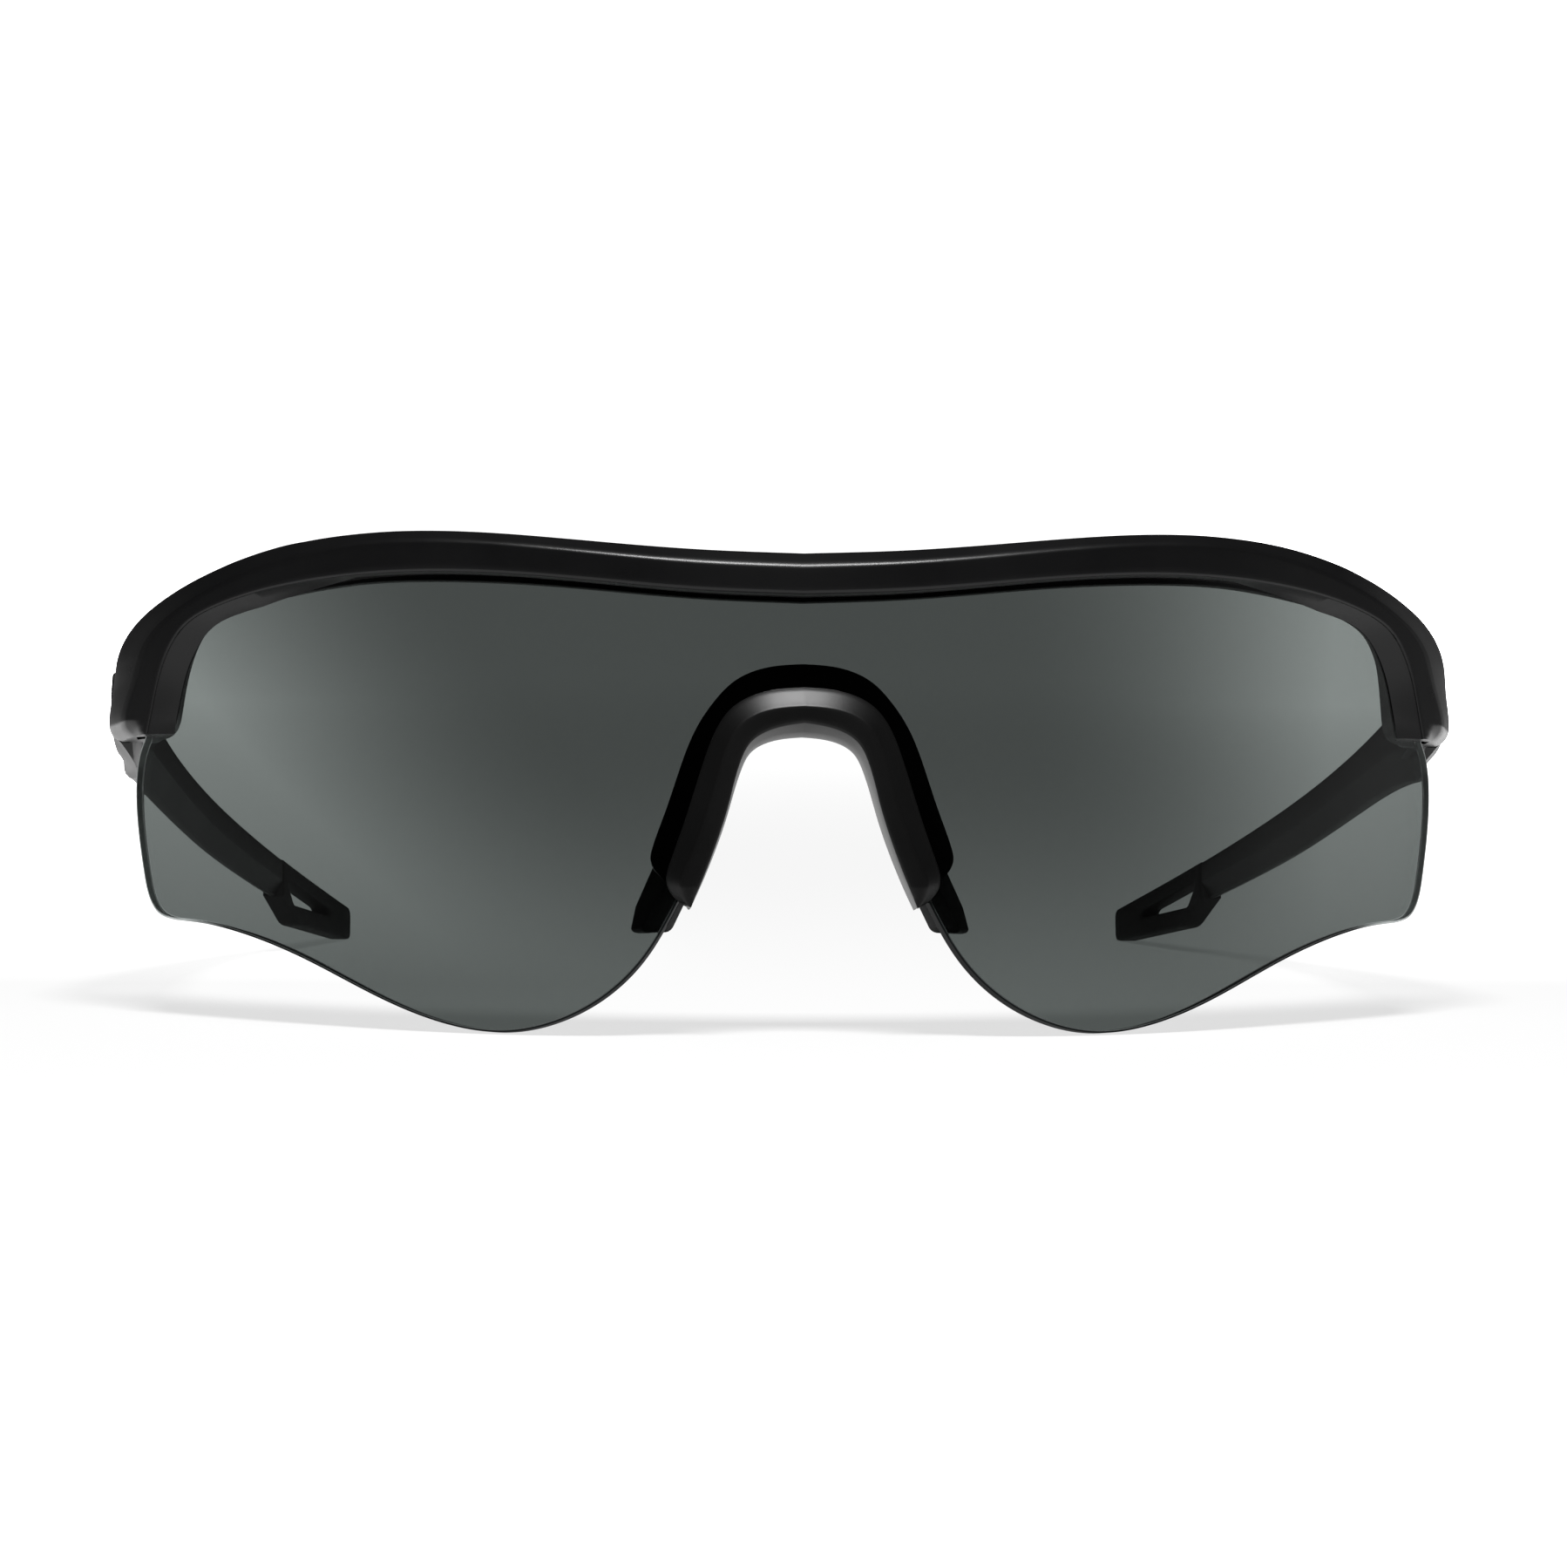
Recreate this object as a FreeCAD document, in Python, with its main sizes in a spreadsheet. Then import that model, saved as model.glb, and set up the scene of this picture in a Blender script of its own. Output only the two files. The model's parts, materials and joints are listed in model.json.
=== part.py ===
import os

import FreeCAD
import Part
from FreeCAD import Placement, Rotation, Vector

# Wraparound sport sunglasses, lying on a table on the two lens lobes and the two temple tips.
# X runs across the face, the lens looks towards -Y, +Z is up, and the origin is the middle of the
# bounding box's underside. Two local frames carry the pieces:
#   front frame  - leaned back by lens_lean, its Z is the axis of the lens's wrap cylinder
#   temple frame - pitched down by temple_drop, its Y runs along the temples, its Z is the hinge axis
# Right-hand pieces (+X) are modelled, left-hand ones are their mirror images.

doc = FreeCAD.newDocument("sport_sunglasses")
sheet = doc.addObject("Spreadsheet::Sheet", "dims")

DIMENSIONS = [
    ("lens_radius", 90.0, "outer radius of the lens's wrap"),
    ("lens_thickness", 2.0, "lens wall"),
    ("lens_gap", 0.06, "clearance between lens and groove faces"),
    ("lens_lean", 6.5, "backward lean of the front as it lies, degrees"),
    ("front_lift", 0.98, "height of the front frame's origin"),
    ("temple_drop", 16.8, "slope of the temples as they lie, degrees"),
    ("temple_start_y", 40.0, "depth of the temple frame's origin behind the brow"),
    ("temple_start_z", 37.85, "height of the temple frame's origin"),
    ("origin_back", 76.5, "distance from the brow's front to the middle of the depth"),
    ("brow_front", 2.0, "brow wall in front of the lens"),
    ("brow_lip", 1.55, "brow lip behind the lens"),
    ("brow_half_width", 73.0, "half the width over the end pieces"),
    ("end_bend", 16.0, "plan radius where the brow turns back into the end piece"),
    ("end_inner_x", 63.7, "inner wall of the end piece, beside the lens"),
    ("end_rear_x", 66.7, "inner wall of the end piece, at its rear"),
    ("shoulder_slope", 14.5, "slope of the end piece's top down to the temple, degrees"),
    ("shoulder_top", 0.25, "end piece's top over the temple's top edge at the butt plane"),
    ("end_rear_y", 50.0, "plan depth of the end piece before it is cut at the butt plane"),
    ("end_low_z", 32.3, "lower end of the end piece, front frame"),
    ("nose_front", 1.9, "nose bridge clip in front of the lens"),
    ("nose_rear", 1.75, "nose bridge flange behind the lens"),
    ("pad_thickness", 2.3, "nose pad rubber"),
    ("hinge_x", 68.0, "hinge axis, distance from the middle"),
    ("butt_y", 6.0, "hinge axis and butt plane, temple frame"),
    ("butt_gap", 0.15, "gap each side of the butt plane"),
    ("hinge_low", -7.1, "lower end of the hinge barrel, temple frame"),
    ("knuckle_radius", 1.6, "hinge barrel"),
    ("knuckle_height", 1.6, "each of the two frame knuckles"),
    ("hinge_relief", 1.95, "clear radius around the barrel"),
    ("washer_height", 0.15, "friction washer"),
    ("middle_height", 2.4, "room between the washers for the temple knuckle"),
    ("knuckle_play", 0.03, "axial play of the temple knuckle, each side"),
    ("pin_radius", 0.7, "hinge screw's shank"),
    ("pin_play", 0.05, "radial play of the hinge screw"),
    ("leaf_thickness", 1.2, "hinge leaves"),
    ("frame_leaf_length", 5.4, "frame leaf, forward of the axis"),
    ("temple_leaf_length", 9.5, "temple leaf, behind the axis"),
    ("temple_leaf_height", 5.4, "temple leaf"),
    ("leaf_setback", 1.95, "distance from the axis to the leaf's edge beside the other leaf's knuckle"),
    ("screw_radius", 0.6, "leaf screws' shank"),
    ("screw_head_radius", 1.05, "leaf screws' head"),
    ("screw_head_height", 0.55, "leaf screws' head"),
    ("screw_slot", 0.3, "width of the driver slots"),
    ("frame_screw_length", 3.0, "shank of the frame leaf's screws"),
    ("temple_screw_length", 2.8, "shank of the temple leaf's screws"),
    ("temple_length", 118.0, "temple frame Y of the tip's end"),
    ("sleeve_start", 92.0, "temple frame Y where the rubber tip begins"),
    ("sleeve_skin", 0.15, "rubber proud of the arm on each face"),
    ("tongue_end", 112.5, "end of the arm's tongue inside the rubber tip"),
    ("tongue_drop", 0.5, "depth of the tongue under the arm's top edge"),
    ("tongue_height", 1.1, "tongue inside the rubber tip"),
    ("tongue_thickness", 1.0, "tongue inside the rubber tip"),
]

for row, (alias, value, note) in enumerate(DIMENSIONS, start=1):
    sheet.set("A%d" % row, alias)
    sheet.set("B%d" % row, str(value))
    sheet.set("C%d" % row, note)
    sheet.setAlias("B%d" % row, alias)
doc.recompute()

ORIGIN = Vector(0, 0, 0)
BACKWARD = Vector(0, 1, 0)
UPWARD = Vector(0, 0, 1)
SIDEWAYS = Vector(1, 0, 0)
# Lengths of forms and tools that pass right through a piece; they leave no trace in its shape.
THROUGH = "90"
AHEAD = "5"
BELOW = "20"
BELOW_HINGE = "-30"
SILL = 20.0


def dim(alias):
    return float(sheet.get(alias))


def bind(item, **expressions):
    """Tie properties to the sheet; Placement__Base__x stands for Placement.Base.x."""
    for name, expression in expressions.items():
        item.setExpression(name.replace("__", "."), expression)
    return item


FRONT = Placement(Vector(0, -dim("origin_back"), dim("front_lift")),
                  Rotation(Vector(1, 0, 0), -dim("lens_lean")))
TEMPLE = Placement(Vector(0, dim("temple_start_y") - dim("origin_back"), dim("temple_start_z")),
                   Rotation(Vector(1, 0, 0), -dim("temple_drop")))


# ---------------------------------------------------------------- building blocks

def sketch_on(name, plane, segments):
    """A closed outline: a segment of two points is a line, of more points a smooth curve."""
    sketch = doc.addObject("Sketcher::SketchObject", name)
    turns = {"XY": Rotation(), "XZ": Rotation(Vector(1, 0, 0), 90),
             "YZ": Rotation(Vector(1, 1, 1), 120)}
    sketch.Placement = Placement(ORIGIN, turns[plane])
    for points in segments:
        spots = [Vector(a, b, 0) for a, b in points]
        if len(spots) == 2:
            sketch.addGeometry(Part.LineSegment(*spots))
        else:
            curve = Part.BSplineCurve()
            curve.interpolate(spots)
            sketch.addGeometry(curve)
    return sketch


def extrude(name, sketch, direction, forward, backward="0"):
    solid = doc.addObject("Part::Extrusion", name)
    solid.Base = sketch
    solid.DirMode = "Custom"
    solid.Dir = direction
    solid.Solid = True
    return bind(solid, LengthFwd=forward, LengthRev=backward)


def cylinder(name, radius, height, x="0", y="0", z="0"):
    return bind(doc.addObject("Part::Cylinder", name), Radius=radius, Height=height,
                Placement__Base__x=x, Placement__Base__y=y, Placement__Base__z=z)


def box(name, length, width, height, x="0", y="0", z="0"):
    return bind(doc.addObject("Part::Box", name), Length=length, Width=width, Height=height,
                Placement__Base__x=x, Placement__Base__y=y, Placement__Base__z=z)


def cut(name, base, tool, placement=Placement()):
    result = doc.addObject("Part::Cut", name)
    result.Base = base
    result.Tool = tool
    result.Placement = placement
    return result


def common(name, first, second, placement=Placement()):
    result = doc.addObject("Part::MultiCommon", name)
    result.Shapes = [first, second]
    result.Placement = placement
    return result


def fuse(name, pieces, placement=Placement()):
    result = doc.addObject("Part::MultiFuse", name)
    result.Shapes = pieces
    result.Placement = placement
    return result


def mirrored(points):
    """Both halves of a symmetric run, left to right, from its right half."""
    return [(-x, z) for x, z in reversed(points) if x > 0] + points


def wrap_cylinder(name, radius):
    """Cylinder about the lens's wrap axis, taller than the front."""
    return cylinder(name, radius, THROUGH, y="dims.lens_radius", z="-%s" % BELOW)


def wrap_shell(name, outer, inner):
    return cut(name, wrap_cylinder(name + "_outer", outer), wrap_cylinder(name + "_inner", inner))


# ---------------------------------------------------------------- outlines seen from the front

LENS_TOP = [(0, 46.8), (10.8, 47.2), (25.3, 48.6), (38.0, 49.7), (44.7, 49.8), (52.8, 49.2),
            (60.0, 47.7), (64.9, 45.3), (67.3, 41.8), (68.3, 38.0), (68.65, 35.0), (68.7, 32.3)]
LENS_SIDE = [(68.7, 32.3), (69.2, 31.0), (69.6, 29.2), (69.75, 26.6), (69.45, 22.0), (68.8, 17.6),
             (68.1, 14.8), (67.0, 13.2), (65.2, 12.5)]
LENS_LOBE = [(65.2, 12.5), (62.2, 12.0), (59.0, 11.1), (51.2, 7.75), (43.5, 3.6), (36.6, 0.8), (30.6, -0.1),
             (25.2, 0.95), (20.5, 3.4), (16.6, 7.1), (12.9, 13.25)]
LENS_NOSE = [(0, 32.7), (3.5, 32.3), (6.2, 30.9), (7.7, 28.7), (8.6, 26.0), (10.0, 21.9),
             (11.5, 17.6), (12.9, 13.25)]
GROOVE_TOP = [(x * 1.0015, z + 0.1) for x, z in LENS_TOP]

BROW_TOP = [(0, 49.1), (10.8, 49.55), (25.3, 50.95), (38.0, 52.1), (44.7, 52.2), (52.6, 51.55),
            (61.1, 49.4), (67.5, 46.4), (70.7, 43.6), (71.8, 41.5)]
BROW_LIP = [(0, 44.1), (10.8, 44.6), (25.3, 46.1), (38.0, 47.05), (44.8, 47.1), (52.5, 46.3),
            (58.6, 44.9), (61.3, 43.3), (62.6, 41.0)]
BROW_WINDOW = [(0, 44.65), (10.7, 45.1), (25.0, 46.6), (38.0, 47.65), (44.7, 47.7), (52.8, 47.1),
               (61.0, 45.3), (64.1, 43.7), (66.0, 41.2), (67.1, 38.4), (68.0, 34.3), (68.4, 31.0)]

NOSE_FRONT = [(0, 35.2), (5.2, 34.4), (7.5, 33.0), (8.9, 31.1), (10.1, 28.2), (12.1, 21.9),
              (13.9, 17.0), (14.4, 15.6)]
NOSE_FLANGE = [(0, 37.75), (3.4, 37.45), (7.0, 36.0), (9.0, 34.0), (10.8, 31.3), (12.4, 27.4),
               (14.0, 22.6), (15.3, 18.8), (15.6, 17.0)]
NOSE_INNER = [(0, 30.3), (3.4, 29.8), (5.3, 28.7), (6.3, 26.9), (7.8, 22.0), (9.5, 17.2),
              (11.6, 12.5)]


def right_then_left(points):
    """A side run on the right, and its mirror image run the other way on the left."""
    return [points, [(-x, z) for x, z in reversed(points)]]


def band(name, upper, lower):
    """Solid between two symmetric runs, seen from the front, with straight ends."""
    over = mirrored(upper)
    under = mirrored(lower)
    sketch = sketch_on(name + "_outline", "XZ",
                       [over, [over[-1], under[-1]], under, [under[0], over[0]]])
    return extrude(name, sketch, BACKWARD, THROUGH, AHEAD)


# ---------------------------------------------------------------- lens

def shield_lens():
    """One-piece shield: a cylindrical shell cut to the lens outline, with the nose arch cut out."""
    top = mirrored(LENS_TOP)
    side_right, side_left = right_then_left(LENS_SIDE)
    lobe_right, lobe_left = right_then_left(LENS_LOBE)
    outline = sketch_on("lens_outline", "XZ",
                        [top, side_right, lobe_right, mirrored(LENS_NOSE), lobe_left, side_left])
    blank = extrude("lens_blank", outline, BACKWARD, THROUGH, AHEAD)
    shell = wrap_shell("lens_shell", "dims.lens_radius", "dims.lens_radius - dims.lens_thickness")
    return common("shield_lens", shell, blank, FRONT)


# ---------------------------------------------------------------- brow frame

def brow_plan():
    """Plan of the brow: wrapped in front, turned back into straight-sided end pieces."""
    outer = dim("lens_radius") + dim("brow_front")
    inner = dim("lens_radius") - dim("lens_thickness") - dim("lens_gap") - dim("brow_lip")
    middle = dim("lens_radius")
    half = dim("brow_half_width")
    bend = dim("end_bend")
    wall = dim("end_inner_x")
    rear = dim("end_rear_x")
    back = dim("end_rear_y")
    bend_x = half - bend
    bend_y = middle - ((outer - bend) ** 2 - bend_x ** 2) ** 0.5
    join_x = bend_x * outer / (outer - bend)
    join_y = middle - (outer ** 2 - join_x ** 2) ** 0.5
    corner_x = bend_x + bend * 0.8
    corner_y = bend_y - bend * 0.6
    wall_y = middle - (inner ** 2 - wall ** 2) ** 0.5
    sketch = doc.addObject("Sketcher::SketchObject", "brow_plan")

    def arc(start, through, end):
        sketch.addGeometry(Part.Arc(Vector(*start, 0), Vector(*through, 0), Vector(*end, 0)))

    def line(start, end):
        sketch.addGeometry(Part.LineSegment(Vector(*start, 0), Vector(*end, 0)))

    arc((-join_x, join_y), (0, middle - outer), (join_x, join_y))
    arc((join_x, join_y), (corner_x, corner_y), (half, bend_y))
    line((half, bend_y), (half, back))
    line((half, back), (rear, back))
    line((rear, back), (wall, wall_y))
    arc((wall, wall_y), (0, middle - inner), (-wall, wall_y))
    line((-wall, wall_y), (-rear, back))
    line((-rear, back), (-half, back))
    line((-half, back), (-half, bend_y))
    arc((-half, bend_y), (-corner_x, corner_y), (-join_x, join_y))
    return sketch


def brow_frame(hinge_tools):
    """Half-rim brow with the lens groove, end pieces and the hinges' recesses."""
    low = dim("end_low_z")
    half = dim("brow_half_width")
    wall = dim("end_inner_x")
    top = mirrored(BROW_TOP)
    lip = mirrored(BROW_LIP)
    right = [[top[-1], (half, low + 2.2)],
             [(half, low + 2.2), (half - 0.45, low + 0.7), (half - 1.5, low)],
             [(half - 1.5, low), (wall + 3.2, low)],
             [(wall + 3.2, low), (wall + 1.2, low + 0.9), (wall + 0.4, low + 3.2)],
             [(wall + 0.4, low + 3.2), lip[-1]]]
    left = [[(-x, z) for x, z in reversed(run)] for run in reversed(right)]
    outline = sketch_on("brow_outline", "XZ", [top] + right + [lip] + left)
    seen_front = extrude("brow_front_form", outline, BACKWARD, THROUGH, AHEAD)
    plan = extrude("brow_plan_form", brow_plan(), UPWARD, THROUGH)
    blank = common("brow_blank", plan, seen_front)

    groove_top = mirrored(GROOVE_TOP)
    open_low = [(groove_top[-1][0], SILL), (groove_top[0][0], SILL)]
    groove_sketch = sketch_on("groove_outline", "XZ",
                              [groove_top, [groove_top[-1], open_low[0]], open_low,
                               [open_low[1], groove_top[0]]])
    groove_form = extrude("groove_form", groove_sketch, BACKWARD, THROUGH, AHEAD)
    groove_shell = wrap_shell("groove_shell", "dims.lens_radius + dims.lens_gap",
                              "dims.lens_radius - dims.lens_thickness - dims.lens_gap")
    groove = common("lens_groove", groove_shell, groove_form)

    window = mirrored(BROW_WINDOW)
    sill = [(window[-1][0], SILL), (window[0][0], SILL)]
    window_sketch = sketch_on("window_outline", "XZ",
                              [window, [window[-1], sill[0]], sill, [sill[1], window[0]]])
    window_form = extrude("window_form", window_sketch, BACKWARD, THROUGH, AHEAD)
    window_tool = cut("brow_window", window_form,
                      wrap_cylinder("window_core", "dims.lens_radius - dims.lens_thickness / 2"))
    open_blank = cut("brow_open", cut("brow_grooved", blank, groove), window_tool, FRONT)
    return cut("brow_frame", open_blank, fuse("hinge_recesses", hinge_tools))


# ---------------------------------------------------------------- nose bridge and pads

def nose_bridge():
    """Clip that straddles the nose arch: front arch, web through the cut-out, rear flange."""
    gap = dim("lens_gap")
    front = common("nose_clip",
                   wrap_shell("nose_clip_shell", "dims.lens_radius + dims.nose_front",
                              "dims.lens_radius + dims.lens_gap"),
                   band("nose_clip_form", NOSE_FRONT, NOSE_INNER))
    rear = common("nose_flange",
                  wrap_shell("nose_flange_shell",
                             "dims.lens_radius - dims.lens_thickness - dims.lens_gap",
                             "dims.lens_radius - dims.lens_thickness - dims.lens_gap - dims.nose_rear"),
                  band("nose_flange_form", NOSE_FLANGE, NOSE_INNER))
    web_edge = [(max(x - gap, 0), z - gap) for x, z in LENS_NOSE]
    web = common("nose_web",
                 wrap_shell("nose_web_shell", "dims.lens_radius + dims.nose_front / 2",
                            "dims.lens_radius - dims.lens_thickness - dims.nose_rear / 2"),
                 band("nose_web_form", web_edge, NOSE_INNER))
    return fuse("nose_bridge", [front, rear, web], FRONT)


# Height, inner front corner x, splay in degrees and depth of each nose pad section.
PAD_SECTIONS = [(27.5, 6.35, 14.0, 4.2), (24.0, 7.3, 20.0, 6.4), (17.5, 9.4, 26.5, 8.4),
                (13.0, 11.2, 29.0, 8.2), (10.2, 12.4, 30.0, 6.8)]
PAD_FRONT_Y = 3.0


def nose_pad():
    """Splayed rubber blade behind one leg of the bridge, lofted through level sections."""
    thickness = dim("pad_thickness")
    rings = []
    for height, corner, splay, depth in PAD_SECTIONS:
        turn = Rotation(Vector(0, 0, 1), -splay)
        along = turn.multVec(Vector(0, depth, 0))
        across = turn.multVec(Vector(thickness, 0, 0))
        start = Vector(corner, PAD_FRONT_Y, height)
        rings.append(Part.makePolygon([start, start + across, start + across + along,
                                       start + along, start]))
    blade = doc.addObject("Part::Feature", "nose_pad_blade")
    blade.Shape = Part.makeLoft(rings, True, False)
    behind = wrap_cylinder("nose_pad_bed", "dims.lens_radius - dims.lens_thickness - dims.lens_gap"
                           " - dims.nose_rear - 0.02")
    return common("nose_pad_right", blade, behind, FRONT)


# ---------------------------------------------------------------- hinge, in the temple frame

HINGE_TOP = ("(dims.hinge_low + 2 * dims.knuckle_height + 2 * dims.washer_height"
             " + dims.middle_height)")
MIDDLE_LOW = "(dims.hinge_low + dims.knuckle_height + dims.washer_height)"
UPPER_LOW = "(%s + dims.middle_height + dims.washer_height)" % MIDDLE_LOW
TEMPLE_LEAF_LOW = "(%s + dims.middle_height / 2 - dims.temple_leaf_height / 2)" % MIDDLE_LOW
FRAME_LEAF_X = "(dims.hinge_x - dims.leaf_thickness / 2)"
TEMPLE_LEAF_X = "(dims.hinge_x + dims.knuckle_radius - dims.leaf_thickness)"


def ring(name, radius, bore, height, z):
    """A short tube about the hinge axis."""
    outer = cylinder(name + "_outer", radius, height, "dims.hinge_x", "dims.butt_y", z)
    inner = cylinder(name + "_bore", bore, height, "dims.hinge_x", "dims.butt_y", z)
    return cut(name, outer, inner)


def frame_hinge_leaf():
    """Leaf moulded into the end piece, with the lower and upper knuckles."""
    plate = box("frame_leaf_plate", "dims.leaf_thickness", "dims.frame_leaf_length - dims.leaf_setback",
                "%s - dims.hinge_low" % HINGE_TOP, FRAME_LEAF_X,
                "dims.butt_y - dims.frame_leaf_length", "dims.hinge_low")
    blanks = [plate]
    for place, low in (("lower", "dims.hinge_low"), ("upper", UPPER_LOW)):
        blanks.append(cylinder("frame_barrel_" + place, "dims.knuckle_radius", "dims.knuckle_height",
                               "dims.hinge_x", "dims.butt_y", low))
        blanks.append(box("frame_neck_" + place, "dims.leaf_thickness", "dims.leaf_setback + 0.2",
                          "dims.knuckle_height", FRAME_LEAF_X,
                          "dims.butt_y - dims.leaf_setback - 0.2", low))
    bore = cylinder("frame_leaf_bore", "dims.pin_radius + dims.pin_play", THROUGH,
                    "dims.hinge_x", "dims.butt_y", BELOW_HINGE)
    holes = screw_blanks("frame_leaf_hole", FRAME_SCREWS, "dims.screw_radius", "10", "dims.hinge_x - 5")
    return cut("frame_hinge_leaf_right", fuse("frame_leaf_blank", blanks),
               fuse("frame_leaf_holes", [bore] + holes), TEMPLE)


def temple_hinge_leaf():
    """Leaf let into the temple's inner face, with the middle knuckle."""
    plate = box("temple_leaf_plate", "dims.leaf_thickness",
                "dims.temple_leaf_length - dims.leaf_setback", "dims.temple_leaf_height",
                TEMPLE_LEAF_X, "dims.butt_y + dims.leaf_setback", TEMPLE_LEAF_LOW)
    neck = box("temple_neck", "dims.leaf_thickness", "dims.leaf_setback + 0.2",
               "dims.middle_height - 2 * dims.knuckle_play", TEMPLE_LEAF_X, "dims.butt_y",
               "%s + dims.knuckle_play" % MIDDLE_LOW)
    barrel = cylinder("temple_barrel", "dims.knuckle_radius",
                      "dims.middle_height - 2 * dims.knuckle_play", "dims.hinge_x", "dims.butt_y",
                      "%s + dims.knuckle_play" % MIDDLE_LOW)
    bore = cylinder("temple_leaf_bore", "dims.pin_radius + dims.pin_play", THROUGH,
                    "dims.hinge_x", "dims.butt_y", BELOW_HINGE)
    holes = screw_blanks("temple_leaf_hole", TEMPLE_SCREWS, "dims.screw_radius", "10",
                         "dims.hinge_x - 5")
    return cut("temple_hinge_leaf_right", fuse("temple_leaf_blank", [plate, neck, barrel]),
               fuse("temple_leaf_holes", [bore] + holes), TEMPLE)


# Leaf screws lie along X; each pair gives the distances from the hinge axis and its lower end.
FRAME_SCREWS = [("dims.butt_y - 3.7", "dims.hinge_low + 1.3"),
                ("dims.butt_y - 3.7", "dims.hinge_low + 4.6")]
TEMPLE_SCREWS = [("dims.butt_y + 4.0", "dims.hinge_low + 2.95"),
                 ("dims.butt_y + 7.4", "dims.hinge_low + 2.95")]


def screw_blanks(name, places, radius, length, x):
    """Plain cylinders along X at the leaf screws' places."""
    blanks = []
    for number, (y, z) in enumerate(places, start=1):
        blank = cylinder("%s_%d" % (name, number), radius, length, x, y, z)
        blank.Placement.Rotation = Rotation(Vector(0, 1, 0), 90)
        blanks.append(blank)
    return blanks


def leaf_screws(name, places, head_x, length):
    """Two slotted cheese-head screws that hold a leaf; the heads face the wearer."""
    heads = screw_blanks(name + "_head", places, "dims.screw_head_radius", "dims.screw_head_height",
                         head_x)
    shanks = screw_blanks(name + "_shank", places, "dims.screw_radius", length,
                          "%s + dims.screw_head_height" % head_x)
    slots = []
    for number, (y, z) in enumerate(places, start=1):
        slots.append(box("%s_slot_%d" % (name, number), "dims.screw_head_height / 2",
                         "3 * dims.screw_head_radius", "dims.screw_slot", head_x,
                         "%s - 1.5 * dims.screw_head_radius" % y, "%s - dims.screw_slot / 2" % z))
    return cut(name, fuse(name + "_blanks", heads + shanks), fuse(name + "_slots", slots), TEMPLE)


def hinge_screw():
    """Hinge pin: a turned shank with a slotted head under the lower knuckle."""
    body = doc.addObject("PartDesign::Body", "hinge_screw_body")
    planes = {item.Role: item for item in body.Origin.OriginFeatures}
    profile = body.newObject("Sketcher::SketchObject", "screw_profile")
    profile.AttachmentSupport = [(planes["XZ_Plane"], "")]
    profile.MapMode = "FlatFace"
    shank = dim("pin_radius")
    head = dim("knuckle_radius") - 0.2
    head_height = 0.6
    top = 2 * dim("knuckle_height") + 2 * dim("washer_height") + dim("middle_height")
    corners = [(0, -head_height), (head, -head_height), (head, 0), (shank, 0), (shank, top), (0, top)]
    for start, end in zip(corners, corners[1:] + corners[:1]):
        profile.addGeometry(Part.LineSegment(Vector(*start, 0), Vector(*end, 0)))
    turned = body.newObject("PartDesign::Revolution", "screw_turned")
    turned.Profile = profile
    turned.ReferenceAxis = (profile, ["V_Axis"])
    turned.Angle = 360
    doc.recompute()
    slot_sketch = body.newObject("Sketcher::SketchObject", "screw_slot_outline")
    slot_sketch.AttachmentSupport = [(planes["XY_Plane"], "")]
    slot_sketch.MapMode = "FlatFace"
    half = dim("screw_slot") / 2
    corners = [(-2, -half), (2, -half), (2, half), (-2, half)]
    for start, end in zip(corners, corners[1:] + corners[:1]):
        slot_sketch.addGeometry(Part.LineSegment(Vector(*start, 0), Vector(*end, 0)))
    slot_sketch.AttachmentOffset = Placement(Vector(0, 0, -head_height), Rotation())
    slot = body.newObject("PartDesign::Pocket", "screw_slot")
    slot.Profile = slot_sketch
    slot.Length = head_height / 2
    slot.Reversed = True
    body.Placement = TEMPLE.multiply(Placement(Vector(dim("hinge_x"), dim("butt_y"), dim("hinge_low")),
                                               Rotation()))
    return body


def hinge_washers():
    """Two nylon washers, one on each side of the temple's knuckle."""
    lower = ring("washer_lower", "dims.knuckle_radius", "dims.pin_radius + dims.pin_play",
                 "dims.washer_height", "dims.hinge_low + dims.knuckle_height")
    upper = ring("washer_upper", "dims.knuckle_radius", "dims.pin_radius + dims.pin_play",
                 "dims.washer_height", "%s + dims.middle_height" % MIDDLE_LOW)
    return fuse("hinge_washers_right", [lower, upper], TEMPLE)


def hinge_relief(name, low, high):
    return cylinder(name, "dims.hinge_relief", "%s - (%s)" % (high, low), "dims.hinge_x",
                    "dims.butt_y", low)


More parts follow.
